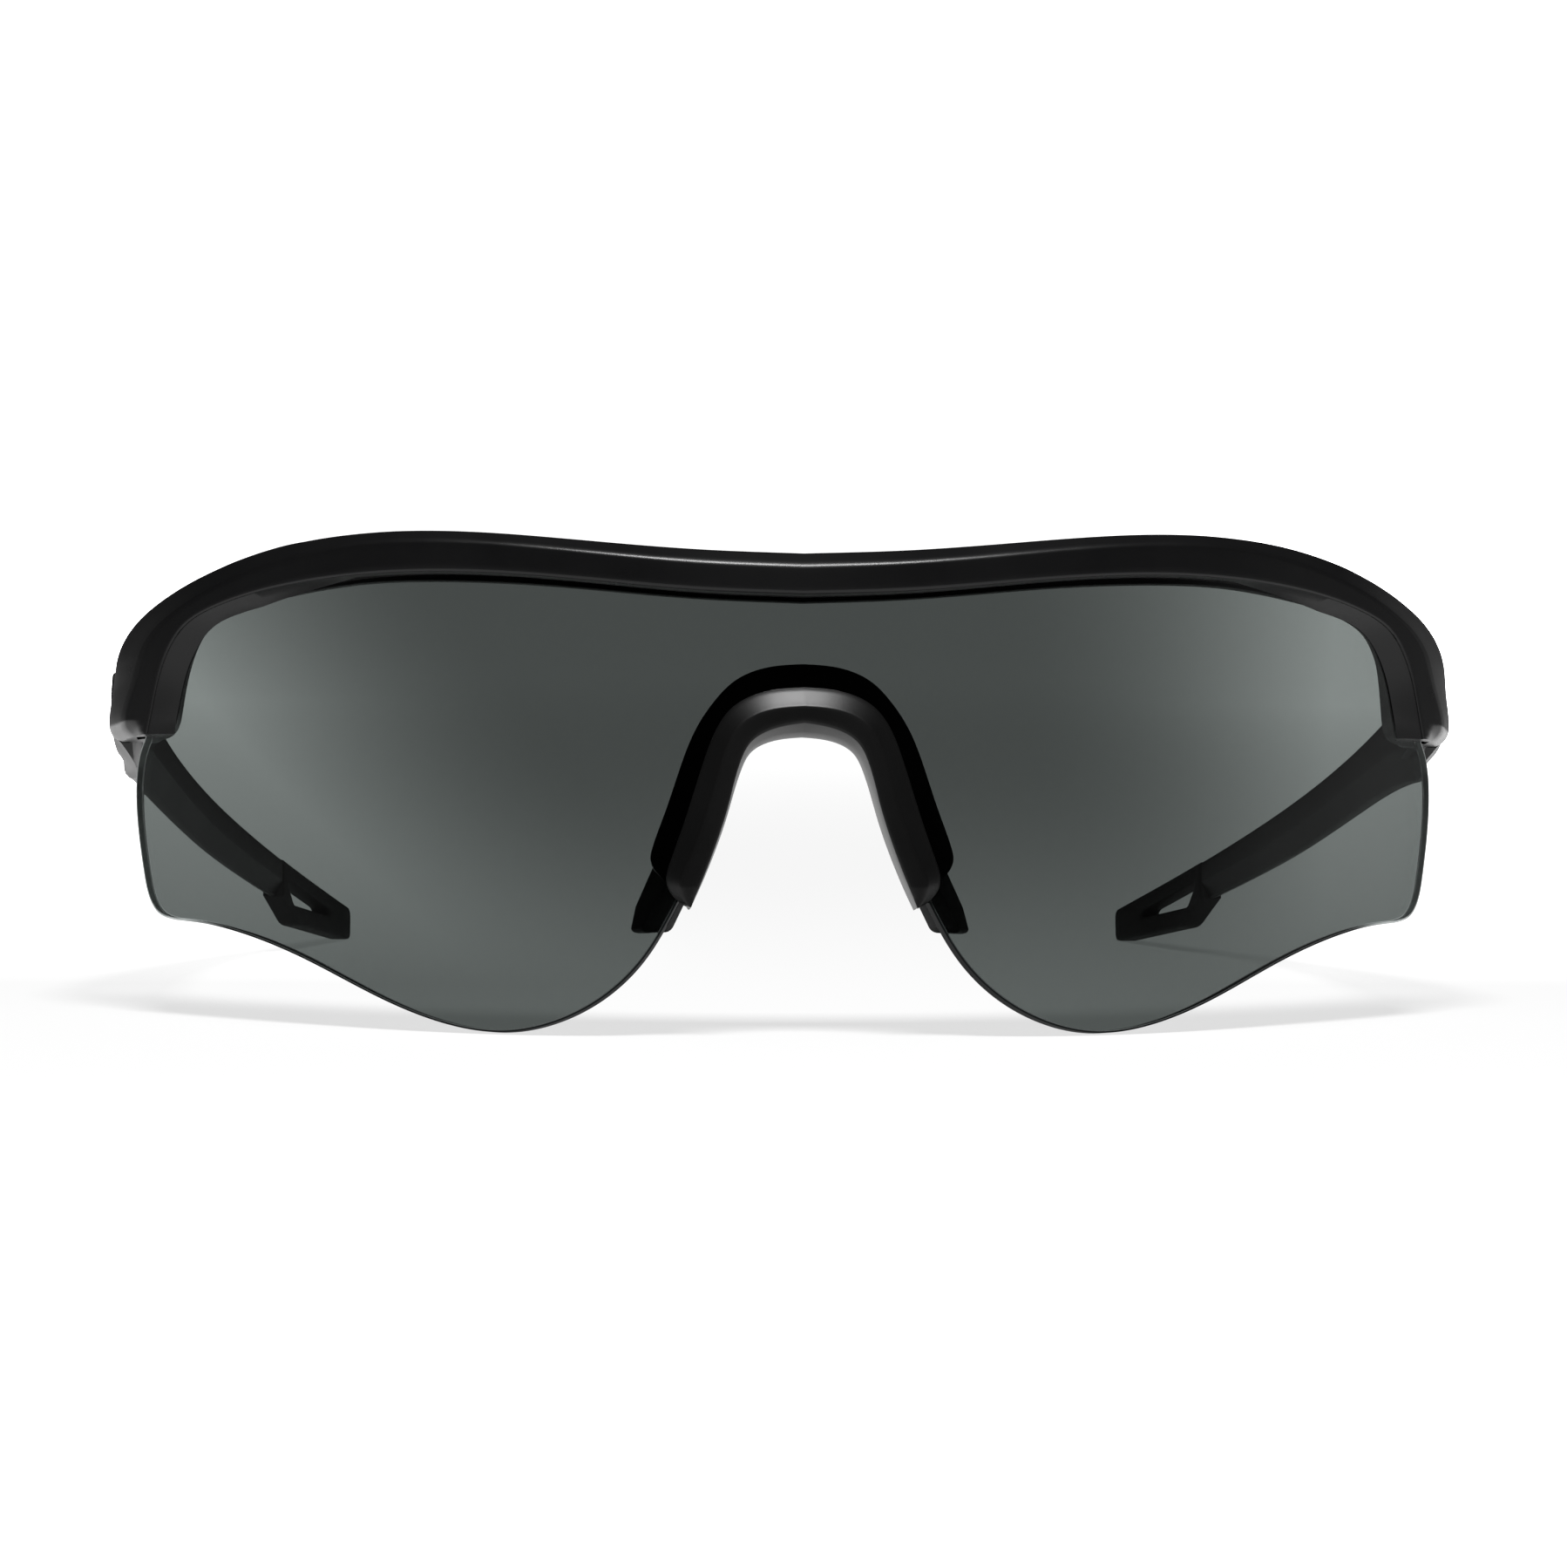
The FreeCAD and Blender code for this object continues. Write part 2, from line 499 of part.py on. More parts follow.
def end_piece_tools():
    """What the hinge takes out of an end piece, on the right and mirrored on the left."""
    behind = box("behind_butt", THROUGH, THROUGH, THROUGH, "dims.end_inner_x / 2",
                 "dims.butt_y - dims.butt_gap", "-%s / 2" % THROUGH)
    slot = box("frame_leaf_slot", "dims.leaf_thickness", "dims.frame_leaf_length + 1",
               "%s - dims.hinge_low" % HINGE_TOP, FRAME_LEAF_X,
               "dims.butt_y - dims.frame_leaf_length", "dims.hinge_low")
    relief = hinge_relief("frame_relief", "dims.hinge_low - 6", "%s + 0.3" % HINGE_TOP)
    heads = screw_blanks("frame_head_seat", FRAME_SCREWS, "dims.screw_head_radius + 0.05", "6",
                         "%s - 6" % FRAME_LEAF_X)
    shanks = screw_blanks("frame_screw_hole", FRAME_SCREWS, "dims.screw_radius",
                          "dims.frame_screw_length", FRAME_LEAF_X)
    shoulder = doc.addObject("Part::Box", "shoulder")
    bind(shoulder, Length=THROUGH, Width=THROUGH, Height=THROUGH)
    shoulder.Placement.Rotation = Rotation(Vector(1, 0, 0), -dim("shoulder_slope"))
    shoulder.Placement.Base = Vector(dim("end_inner_x") / 2, dim("butt_y"), dim("shoulder_top")).add(
        shoulder.Placement.Rotation.multVec(Vector(0, -float(THROUGH), 0)))
    right = fuse("end_tools_right", [behind, shoulder, slot, relief] + heads + shanks, TEMPLE)
    return [right, mirror_image("end_tools_left", right)]


def mirror_image(name, source):
    copy = doc.addObject("Part::Mirroring", name)
    copy.Source = source
    copy.Normal = Vector(1, 0, 0)
    copy.Base = ORIGIN
    return copy


# ---------------------------------------------------------------- temple arm and rubber tip

ARM_INNER = [(69.0, 6.15), (68.9, 14.0), (68.3, 25.0), (66.6, 42.0), (63.7, 60.0), (59.2, 80.0),
             (53.7, 100.0), (48.0, 118.5)]
ARM_OUTER = [(72.8, 6.15), (72.3, 14.0), (71.5, 25.0), (69.7, 42.0), (66.4, 60.0), (61.7, 80.0),
             (55.9, 100.0), (50.2, 118.5)]
ARM_UNDER = [(6.15, -7.9), (8.2, -8.9), (11.0, -9.6), (14.0, -9.6), (19.0, -8.6), (27.0, -7.2),
             (38.0, -6.1), (64.0, -5.5), (80.0, -5.0), (92.0, -4.6)]
ARM_ROOT = [(40.0, 2.0), (75.0, 2.0), (75.0, -4.4), (67.2, -12.5), (40.0, -12.5)]
TIP_UNDER = [(92.0, -4.6), (97.0, -6.3)]
TIP_HEEL = [(97.0, -6.3), (98.2, -6.6), (99.8, -6.5)]
TIP_SOLE = [(99.8, -6.5), (107.0, -5.5), (117.2, -4.15)]
TIP_HOLE = [(93.3, -1.95), (96.4, -4.6), (109.8, -2.8), (110.5, -2.35), (109.6, -1.95)]


def plan_form(name, swell):
    """The temple's plan, straight up and down, swollen by the rubber's skin where there is any."""
    inner = [(x - swell, y) for x, y in ARM_INNER]
    outer = [(x + swell, y) for x, y in ARM_OUTER]
    sketch = sketch_on(name + "_outline", "XY",
                       [inner, [inner[-1], outer[-1]], outer, [outer[0], inner[0]]])
    return extrude(name, sketch, UPWARD, BELOW, BELOW)


def tongue(name, play):
    """Flat tongue down the middle of the arm's thickness, inside the tip's upper bar."""
    middle = [((a + c) / 2, b) for (a, b), (c, d) in zip(ARM_INNER[-3:], ARM_OUTER[-3:])]
    half = dim("tongue_thickness") / 2 + play
    near = [(x - half, y) for x, y in middle]
    far = [(x + half, y) for x, y in middle]
    sketch = sketch_on(name + "_plan", "XY", [near, [near[-1], far[-1]], far, [far[0], near[0]]])
    strip = extrude(name + "_strip", sketch, UPWARD, BELOW, BELOW)
    limits = box(name + "_limits", "60", "dims.tongue_end - dims.sleeve_start + 6 + %g" % play,
                 "dims.tongue_height + %g" % (2 * play), "30", "dims.sleeve_start - 6",
                 "-dims.tongue_drop - dims.tongue_height - %g" % play)
    return common(name, strip, limits)


def temple_arm():
    """Moulded arm: tall at the hinge, slim along the head, with a tongue for the rubber tip."""
    start = ARM_UNDER[0][0]
    sleeve = dim("sleeve_start")
    side = sketch_on("arm_side", "YZ", [[(start, 0), (sleeve, 0)], [(sleeve, 0), ARM_UNDER[-1]],
                                        list(reversed(ARM_UNDER)), [ARM_UNDER[0], (start, 0)]])
    side_form = extrude("arm_side_form", side, SIDEWAYS, THROUGH)
    root = sketch_on("arm_root", "XZ",
                     [list(pair) for pair in zip(ARM_ROOT, ARM_ROOT[1:] + ARM_ROOT[:1])])
    root_form = extrude("arm_root_form", root, BACKWARD, "dims.temple_length")
    rough = common("arm_rough", plan_form("arm_plan_form", 0.0), side_form)
    blank = common("arm_blank", rough, root_form)
    arm = fuse("arm_with_tongue", [blank, tongue("arm_tongue", 0.0)])
    pocket = box("temple_leaf_pocket", "dims.leaf_thickness", "dims.temple_leaf_length",
                 "dims.temple_leaf_height", TEMPLE_LEAF_X, "dims.butt_y", TEMPLE_LEAF_LOW)
    relief = hinge_relief("temple_relief", "dims.hinge_low - 6", "%s + 0.3" % HINGE_TOP)
    shanks = screw_blanks("temple_screw_hole", TEMPLE_SCREWS, "dims.screw_radius",
                          "dims.temple_screw_length", TEMPLE_LEAF_X)
    return cut("temple_arm_right", arm, fuse("arm_tools", [pocket, relief] + shanks), TEMPLE)


def temple_tip():
    """Rubber tip with its triangular window, pushed over the arm's tongue."""
    start = dim("sleeve_start")
    end = dim("temple_length")
    side = sketch_on("tip_side", "YZ",
                     [[(start, 0), (end - 0.8, 0)], [(end - 0.8, 0), (end - 0.25, -0.25), (end, -0.8)],
                      [(end, -0.8), (end, -3.3)], [(end, -3.3), (end - 0.2, -3.85), (117.2, -4.15)],
                      list(reversed(TIP_SOLE)), list(reversed(TIP_HEEL)), list(reversed(TIP_UNDER)),
                      [TIP_UNDER[0], (start, 0)]])
    side_form = extrude("tip_side_form", side, SIDEWAYS, THROUGH)
    hole = sketch_on("tip_hole", "YZ",
                     [TIP_HOLE[:2], TIP_HOLE[1:3], TIP_HOLE[2:], [TIP_HOLE[-1], TIP_HOLE[0]]])
    hole_form = extrude("tip_hole_form", hole, SIDEWAYS, THROUGH)
    blank = common("tip_blank", plan_form("tip_plan_form", dim("sleeve_skin")), side_form)
    tools = fuse("tip_tools", [hole_form, tongue("tip_socket", 0.02)])
    return cut("temple_tip_right", blank, tools, TEMPLE)


# ---------------------------------------------------------------- assembly

def build():
    nodes = {"shield_lens": shield_lens(), "brow_frame": brow_frame(end_piece_tools()),
             "nose_bridge": nose_bridge()}
    sided = {
        "nose_pad": nose_pad(),
        "frame_hinge_leaf": frame_hinge_leaf(),
        "frame_leaf_screws": leaf_screws("frame_leaf_screws_right", FRAME_SCREWS,
                                         "%s - dims.screw_head_height" % FRAME_LEAF_X,
                                         "dims.frame_screw_length"),
        "hinge_screw": hinge_screw(),
        "hinge_washers": hinge_washers(),
        "temple_arm": temple_arm(),
        "temple_hinge_leaf": temple_hinge_leaf(),
        "temple_leaf_screws": leaf_screws("temple_leaf_screws_right", TEMPLE_SCREWS,
                                          "%s - dims.screw_head_height" % TEMPLE_LEAF_X,
                                          "dims.temple_screw_length"),
        "temple_tip": temple_tip(),
    }
    for name, right in sided.items():
        nodes[name + "_right"] = right
        nodes[name + "_left"] = mirror_image(name + "_left", right)
    for name, item in nodes.items():
        item.Label = name
    return nodes


def check_and_export(nodes):
    doc.recompute()
    for item in doc.Objects:
        if "Invalid" in item.State or "Error" in item.State:
            raise RuntimeError("%s failed: %s" % (item.Label, item.State))
    for name, item in nodes.items():
        if item.Shape.isNull() or not item.Shape.isValid():
            raise RuntimeError("%s has no valid shape" % name)
    os.makedirs("parts", exist_ok=True)
    for name, item in nodes.items():
        item.Shape.exportStep("parts/%s.step" % name)
        limits = item.Shape.BoundBox
        print("%-26s solids %d volume %8.2f  x %7.2f %7.2f  y %7.2f %7.2f  z %6.2f %6.2f" % (
            name, len(item.Shape.Solids), item.Shape.Volume, limits.XMin, limits.XMax,
            limits.YMin, limits.YMax, limits.ZMin, limits.ZMax))


check_and_export(build())
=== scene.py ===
import json
import math

import bmesh
import bpy
import numpy as np
from mathutils import Matrix, Vector
from mathutils.geometry import delaunay_2d_cdt


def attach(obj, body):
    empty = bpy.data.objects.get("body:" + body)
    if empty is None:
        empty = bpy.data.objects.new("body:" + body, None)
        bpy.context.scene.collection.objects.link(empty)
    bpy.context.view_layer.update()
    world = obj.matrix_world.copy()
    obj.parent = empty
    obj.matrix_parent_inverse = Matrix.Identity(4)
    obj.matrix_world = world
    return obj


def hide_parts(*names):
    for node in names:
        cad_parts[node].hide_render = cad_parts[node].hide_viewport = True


# Wraparound sport sunglasses, lying on a pale floor. Outlines are in millimetres in the two local
# frames that the CAD parts use: the front frame (leaned back, its Z along the lens's wrap axis) and
# the temple frame (pitched down, its Z along the hinge axis). Everything is placed in metres.

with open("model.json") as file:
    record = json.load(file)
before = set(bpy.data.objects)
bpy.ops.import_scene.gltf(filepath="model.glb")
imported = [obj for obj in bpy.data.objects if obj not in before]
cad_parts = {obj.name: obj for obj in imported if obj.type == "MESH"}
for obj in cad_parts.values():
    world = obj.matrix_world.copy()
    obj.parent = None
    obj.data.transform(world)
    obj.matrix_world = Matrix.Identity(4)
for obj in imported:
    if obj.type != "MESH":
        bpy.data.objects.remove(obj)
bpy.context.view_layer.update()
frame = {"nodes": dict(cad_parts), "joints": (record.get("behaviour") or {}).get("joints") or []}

MM = 0.001


# ---------------------------------------------------------------- local frames

def tilted(origin, degrees):
    """Local frame turned about X so that its +Y end goes down by that angle."""
    return Matrix.Translation(Vector(origin) * MM) @ Matrix.Rotation(-math.radians(degrees), 4, "X")


LENS_LEAN = 6.5
FRONT_ORIGIN = (0.0, -76.5, 0.98)
FRONT = tilted(FRONT_ORIGIN, LENS_LEAN)

hinge = next(j for j in frame["joints"] if j["name"] == "hinge_right")
TEMPLE_DROP = math.degrees(math.atan2(hinge["axis"][1], hinge["axis"][2]))
HINGE_X = hinge["pos_m"][0] / MM
BUTT_Y = 6.0
HINGE_MIDDLE = -4.15
TURN = Matrix.Rotation(-math.radians(TEMPLE_DROP), 4, "X")
TEMPLE_ORIGIN = (Vector(hinge["pos_m"]) / MM) - TURN @ Vector((HINGE_X, BUTT_Y, HINGE_MIDDLE))
TEMPLE = tilted(TEMPLE_ORIGIN, TEMPLE_DROP)
FRONT_FROM_TEMPLE = FRONT.inverted() @ TEMPLE


def place(points, matrix):
    """Local millimetres to row-frame metres."""
    spots = np.asarray(points, float) * MM
    turn = np.array(matrix.to_3x3())
    return spots @ turn.T + np.array(matrix.translation)


# ---------------------------------------------------------------- curves

def spline(points, count):
    """Natural cubic through the points, evenly spaced along its length."""
    points = np.asarray(points, float)
    chords = np.linalg.norm(np.diff(points, axis=0), axis=1)
    knots = np.concatenate([[0], np.cumsum(chords)])
    size = len(points)
    system = np.eye(size)
    right = np.zeros_like(points)
    for i in range(1, size - 1):
        before, after = chords[i - 1], chords[i]
        system[i, i - 1:i + 2] = before, 2 * (before + after), after
        right[i] = 6 * ((points[i + 1] - points[i]) / after - (points[i] - points[i - 1]) / before)
    bends = np.linalg.solve(system, right)
    dense = np.linspace(0, knots[-1], 40 * size)
    span = np.clip(np.searchsorted(knots, dense, side="right") - 1, 0, size - 2)
    width = chords[span][:, None]
    left = (knots[span + 1] - dense)[:, None] / width
    rest = 1 - left
    curve = (left * points[span] + rest * points[span + 1]
             + ((left ** 3 - left) * bends[span] + (rest ** 3 - rest) * bends[span + 1])
             * width ** 2 / 6)
    return even(curve, count)


def even(points, count):
    """The same run with its points evenly spaced."""
    points = np.asarray(points, float)
    lengths = np.concatenate([[0], np.cumsum(np.linalg.norm(np.diff(points, axis=0), axis=1))])
    wanted = np.linspace(0, lengths[-1], count)
    return np.stack([np.interp(wanted, lengths, points[:, k]) for k in range(points.shape[1])], axis=1)


def both_sides(right_half):
    """Left to right across the middle, from the right half."""
    left = right_half[1:][::-1] * np.array([-1, 1])
    return np.concatenate([left, right_half])


def smoothstep(value):
    value = np.clip(value, 0, 1)
    return value * value * (3 - 2 * value)


def softmin(a, b, reach):
    """Smaller of the two, with the corner rounded over that reach."""
    blend = np.clip(0.5 + 0.5 * (b - a) / reach, 0, 1)
    return b + (a - b) * blend - reach * blend * (1 - blend)


# ---------------------------------------------------------------- meshes

def new_object(name, verts, faces, material, body, stands_for, sharp=38.0):
    mesh = bpy.data.meshes.new(name)
    mesh.from_pydata([tuple(v) for v in verts], [], [tuple(int(i) for i in f) for f in faces])
    mesh.validate()
    shell = bmesh.new()
    shell.from_mesh(mesh)
    bmesh.ops.recalc_face_normals(shell, faces=shell.faces)
    shell.to_mesh(mesh)
    shell.free()
    item = bpy.data.objects.new(name, mesh)
    bpy.context.scene.collection.objects.link(item)
    mesh.materials.append(material)
    mesh.polygons.foreach_set("use_smooth", [True] * len(mesh.polygons))
    mesh.set_sharp_from_angle(angle=math.radians(sharp))
    weighted = item.modifiers.new("weighted_normals", "WEIGHTED_NORMAL")
    weighted.keep_sharp = True
    weighted.weight = 80
    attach(item, body)
    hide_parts(stands_for)
    return item


def tube(rings, caps=True):
    """Quads between closed rings of equal size, with one face closing each of the two end rings."""
    rings = np.asarray(rings, float)
    count, size = rings.shape[:2]
    verts = [tuple(p) for ring in rings for p in ring]
    faces = []
    for i in range(count - 1):
        for j in range(size):
            k = (j + 1) % size
            faces.append((i * size + j, i * size + k, (i + 1) * size + k, (i + 1) * size + j))
    if caps:
        faces.append(tuple(range(size))[::-1])
        faces.append(tuple((count - 1) * size + j for j in range(size)))
    return verts, faces


def mirror(verts, faces):
    return [(-x, y, z) for x, y, z in verts], [tuple(reversed(f)) for f in faces]


def inside(points, polygon):
    """Which points lie inside a closed polygon."""
    x, y = points[:, 0], points[:, 1]
    hit = np.zeros(len(points), bool)
    for (x0, y0), (x1, y1) in zip(polygon, np.roll(polygon, -1, axis=0)):
        crosses = (y0 > y) != (y1 > y)
        if y0 != y1:
            hit ^= crosses & (x < (x1 - x0) * (y - y0) / (y1 - y0) + x0)
    return hit


def inward(polygon):
    """Unit normals into a counter-clockwise polygon, at its points."""
    ahead = np.roll(polygon, -1, axis=0) - polygon
    behind = polygon - np.roll(polygon, 1, axis=0)
    along = ahead / np.linalg.norm(ahead, axis=1)[:, None]
    along += behind / np.linalg.norm(behind, axis=1)[:, None]
    along /= np.linalg.norm(along, axis=1)[:, None]
    return np.stack([-along[:, 1], along[:, 0]], axis=1)


def area(polygon):
    x, y = polygon[:, 0], polygon[:, 1]
    return 0.5 * np.sum(x * np.roll(y, -1) - y * np.roll(x, -1))


def plate(outline, holes, spacing, near, far, to_space):
    """A flat or bent plate with shaped edges.

    outline and holes are closed runs in the plate's own plane. near and far list the steps from an
    edge into each face as (inset, depth): both may be arrays, one value per edge point, given by
    functions of the edge's points. to_space turns (u, v, depth) into local coordinates.
    """
    loops = [outline if area(outline) > 0 else outline[::-1]]
    loops += [hole if area(hole) < 0 else hole[::-1] for hole in holes]
    verts = []
    faces = []

    def add(points, depth):
        start = len(verts)
        depth = np.broadcast_to(depth, (len(points),))
        verts.extend(to_space(points[:, 0], points[:, 1], depth))
        return np.arange(start, start + len(points))

    inner = []
    for steps in (near, far):
        rings = []
        for loop in loops:
            into = inward(loop)
            run = []
            for inset, depth in steps:
                inset = inset(loop) if callable(inset) else np.full(len(loop), float(inset))
                depth = depth(loop) if callable(depth) else np.full(len(loop), float(depth))
                spots = loop + into * inset[:, None]
                run.append((add(spots, depth), spots, depth))
            rings.append(run)
        inner.append(rings)

    for side, rings in enumerate(inner):
        for run in rings:
            for (a, _, _), (b, _, _) in zip(run, run[1:]):
                for j in range(len(a)):
                    k = (j + 1) % len(a)
                    quad = (a[j], a[k], b[k], b[j])
                    faces.append(quad if side == 0 else quad[::-1])
    for near_run, far_run in zip(*inner):
        a, b = near_run[0][0], far_run[0][0]
        for j in range(len(a)):
            k = (j + 1) % len(a)
            faces.append((a[k], a[j], b[j], b[k]))

    low, high = loops[0].min(0), loops[0].max(0)
    across, up = (np.arange(low[k], high[k], spacing) for k in (0, 1))
    grid_u, grid_v = np.meshgrid(across, up)
    grid = np.stack([grid_u.ravel(), grid_v.ravel()], axis=1)
    for side, rings in enumerate(inner):
        edges, spots, ids, depths = [], [], [], []
        for run in rings:
            index, points, depth = run[-1]
            base = len(ids)
            edges += [(base + j, base + (j + 1) % len(index)) for j in range(len(index))]
            spots += list(points)
            ids += list(index)
            depths += list(depth)
        keep = inside(grid, rings[0][-1][1])
        for run in rings[1:]:
            keep &= ~inside(grid, run[-1][1])
        fill = grid[keep]
        border = np.array(spots)
        gaps = np.array([np.min(np.sum((border - p) ** 2, axis=1)) for p in fill])
        fill = fill[gaps > (0.6 * spacing) ** 2]
        ids += list(add(fill, float(np.mean(depths))))
        spots += list(fill)
        made, _, triangles, origins, _, _ = delaunay_2d_cdt([Vector(p) for p in spots], edges, [], 0, 1e-7)
        middles = np.array([[sum(made[i][k] for i in t) / 3 for k in (0, 1)] for t in triangles])
        good = inside(middles, rings[0][-1][1])
        for run in rings[1:]:
            good &= ~inside(middles, run[-1][1])
        for t, ok in zip(triangles, good):
            if ok and all(origins[i] for i in t):
                a, b, c = (ids[origins[i][0]] for i in t)
                pa, pb, pc = (np.array(made[i]) for i in t)
                turn = (pb[0] - pa[0]) * (pc[1] - pa[1]) - (pb[1] - pa[1]) * (pc[0] - pa[0])
                tri = (a, b, c) if turn > 0 else (a, c, b)
                faces.append(tri if side == 0 else tri[::-1])
    return verts, faces


# ---------------------------------------------------------------- materials

def node_material(name):
    material = bpy.data.materials.new(name)
    material.use_nodes = True
    nodes = material.node_tree.nodes
    return material, nodes, material.node_tree.links, nodes["Principled BSDF"]


def feed(links, socket, value):
    """Links the socket to another one, or sets it to a number or colour."""
    if isinstance(value, bpy.types.NodeSocket):
        links.new(value, socket)
    else:
        socket.default_value = value


def mapped(nodes, links, value, source, target, blend="LINEAR"):
    """Output of a map range from the source's two ends to the target's."""
    node = nodes.new("ShaderNodeMapRange")
    node.interpolation_type = blend
    feed(links, node.inputs["Value"], value)
    for name, end in zip(("From Min", "From Max", "To Min", "To Max"), (*source, *target)):
        feed(links, node.inputs[name], end)
    return node.outputs["Result"]


def mixed(nodes, links, share, first, second):
    """Output of a mix of two colours, each a socket or three numbers."""
    node = nodes.new("ShaderNodeMix")
    node.data_type = "RGBA"
    links.new(share, node.inputs[0])
    for slot, colour in ((6, first), (7, second)):
        feed(links, node.inputs[slot], (*colour, 1) if isinstance(colour, tuple) else colour)
    return node.outputs[2]


def noise(nodes, links, vector, scale, detail):
    """Output of a noise texture."""
    node = nodes.new("ShaderNodeTexNoise")
    node.inputs["Scale"].default_value = scale
    node.inputs["Detail"].default_value = detail
    links.new(vector, node.inputs["Vector"])
    return node.outputs["Fac"]


def edge_share(nodes, name):
    """Output of a mesh attribute that is 1 along part of the lens's edge."""
    node = nodes.new("ShaderNodeAttribute")
    node.attribute_name = name
    return node.outputs["Fac"]


def grained(name, dark, light, rough_low, rough_high, grain, bump, specular=0.5):
    """Moulded plastic or rubber: fine grain in the surface, and slow changes of tone and gloss."""
    material, nodes, links, shader = node_material(name)
    where = nodes.new("ShaderNodeTexCoord").outputs["Object"]
    fine = noise(nodes, links, where, grain, 3.0)
    slow = noise(nodes, links, where, 90.0, 4.0)
    links.new(mixed(nodes, links, slow, dark, light), shader.inputs["Base Color"])
    gloss = mapped(nodes, links, slow, (0.3, 0.7), (rough_low, rough_high))
    links.new(gloss, shader.inputs["Roughness"])
    relief = nodes.new("ShaderNodeBump")
    relief.inputs["Strength"].default_value = bump
    relief.inputs["Distance"].default_value = 0.00003
    links.new(fine, relief.inputs["Height"])
    links.new(relief.outputs["Normal"], shader.inputs["Normal"])
    shader.inputs["Specular IOR Level"].default_value = specular
    return material


def brushed(name, dark, light, rough):
    """Small steel part: fine lines, and slightly uneven tone."""
    material, nodes, links, shader = node_material(name)
    where = nodes.new("ShaderNodeTexCoord").outputs["Object"]
    stretch = nodes.new("ShaderNodeMapping")
    stretch.inputs["Scale"].default_value = (1.0, 1.0, 12.0)
    links.new(where, stretch.inputs["Vector"])
    lines = noise(nodes, links, stretch.outputs["Vector"], 1500.0, 4.0)
    links.new(mixed(nodes, links, lines, dark, light), shader.inputs["Base Color"])
    gloss = mapped(nodes, links, lines, (0.0, 1.0), (rough - 0.08, rough + 0.08))
    links.new(gloss, shader.inputs["Roughness"])
    shader.inputs["Metallic"].default_value = 1.0
    return material


def smoke_lens(name):
    """Clear grey-green polycarbonate, its tint darker towards the top than towards the bottom, faintly
    smudged;
    its lower rim is painted near black as painted shade, and its cut at the sides is painted pale as a
    painted highlight."""
    material, nodes, links, shader = node_material(name)
    where = nodes.new("ShaderNodeTexCoord").outputs["Object"]
    split = nodes.new("ShaderNodeSeparateXYZ")
    links.new(where, split.inputs["Vector"])
    # Painted shade: the rim attribute marks a near-black, nearly opaque band along the lens's lower edge,
    # standing in for the dark line seen there.
    rim = edge_share(nodes, "rim")
    # Painted highlight: this attribute marks a pale band up the cut at the sides, standing in for the
    # bright line seen along those edges.
    painted_highlight_band = edge_share(nodes, "painted_highlight_band")
    # Tint darker towards the top, lighter towards the bottom.
    height = mapped(nodes, links, split.outputs["Z"], (0.0, 0.036), (0.0, 1.0), "SMOOTHSTEP")
    tint = mixed(nodes, links, height, (0.121, 0.136, 0.131), (0.0547, 0.0612, 0.0589))
    # Painted shade: the lower edge's colour turns near black.
    colour_with_painted_shade_edge = mixed(nodes, links, rim, tint, (0.002, 0.003, 0.003))
    # Painted highlight: the side cut's colour turns pale.
    colour_with_painted_highlight = mixed(nodes, links, painted_highlight_band, colour_with_painted_shade_edge, (0.62, 0.66, 0.65))
    links.new(colour_with_painted_highlight, shader.inputs["Base Color"])
    smudge = noise(nodes, links, where, 60.0, 5.0)
    haze = mapped(nodes, links, smudge, (0.45, 0.8), (0.0, 0.02))
    links.new(haze, shader.inputs["Roughness"])
    # Painted shade: the painted dark lower edge lets little light through.
    clear = mapped(nodes, links, rim, (0.0, 1.0), (1.0, 0.1))
    # Painted highlight: the pale side cut lets little light through.
    transmission_under_painted_highlight = mapped(nodes, links, painted_highlight_band, (0.0, 1.0), (clear, 0.15))
    links.new(transmission_under_painted_highlight, shader.inputs["Transmission Weight"])
    # Painted shade: no specular on the painted dark lower edge.
    specular_off_on_painted_shade_edge = mapped(nodes, links, rim, (0.0, 1.0), (0.5, 0.0))
    links.new(specular_off_on_painted_shade_edge, shader.inputs["Specular IOR Level"])
    shader.inputs["IOR"].default_value = 1.586
    return material


FRAME_BLACK = grained("frame_black", (0.003, 0.003, 0.0032), (0.005, 0.005, 0.0052),
                      0.26, 0.33, 9000, 0.3, 0.3)
TEMPLE_BLACK = grained("temple_black", (0.003, 0.003, 0.003), (0.005, 0.005, 0.005),
                       0.34, 0.42, 9000, 0.3, 0.26)
BRIDGE_BLACK = grained("bridge_black", (0.002, 0.002, 0.002), (0.0035, 0.0035, 0.0035),
                       0.33, 0.40, 9000, 0.3, 0.21)
NOSE_RUBBER = grained("nose_rubber", (0.055, 0.055, 0.056), (0.080, 0.080, 0.080),
                      0.62, 0.76, 5000, 0.3, 0.36)
TIP_RUBBER = grained("tip_rubber", (0.003, 0.003, 0.003), (0.005, 0.005, 0.005),
                     0.58, 0.70, 5000, 0.3, 0.22)
LENS_SMOKE = smoke_lens("lens_smoke")
HINGE_STEEL = brushed("hinge_steel", (0.08, 0.08, 0.083), (0.16, 0.16, 0.165), 0.36)
SCREW_STEEL = brushed("screw_steel", (0.20, 0.20, 0.205), (0.34, 0.34, 0.345), 0.28)
WASHER_NYLON = grained("washer_nylon", (0.02, 0.02, 0.02), (0.03, 0.03, 0.03), 0.5, 0.6, 4000, 0.2)

CAD_MATERIALS = {"frame_hinge_leaf": HINGE_STEEL, "temple_hinge_leaf": HINGE_STEEL,
                 "frame_leaf_screws": SCREW_STEEL, "temple_leaf_screws": SCREW_STEEL,
                 "hinge_screw": SCREW_STEEL, "hinge_washers": WASHER_NYLON}

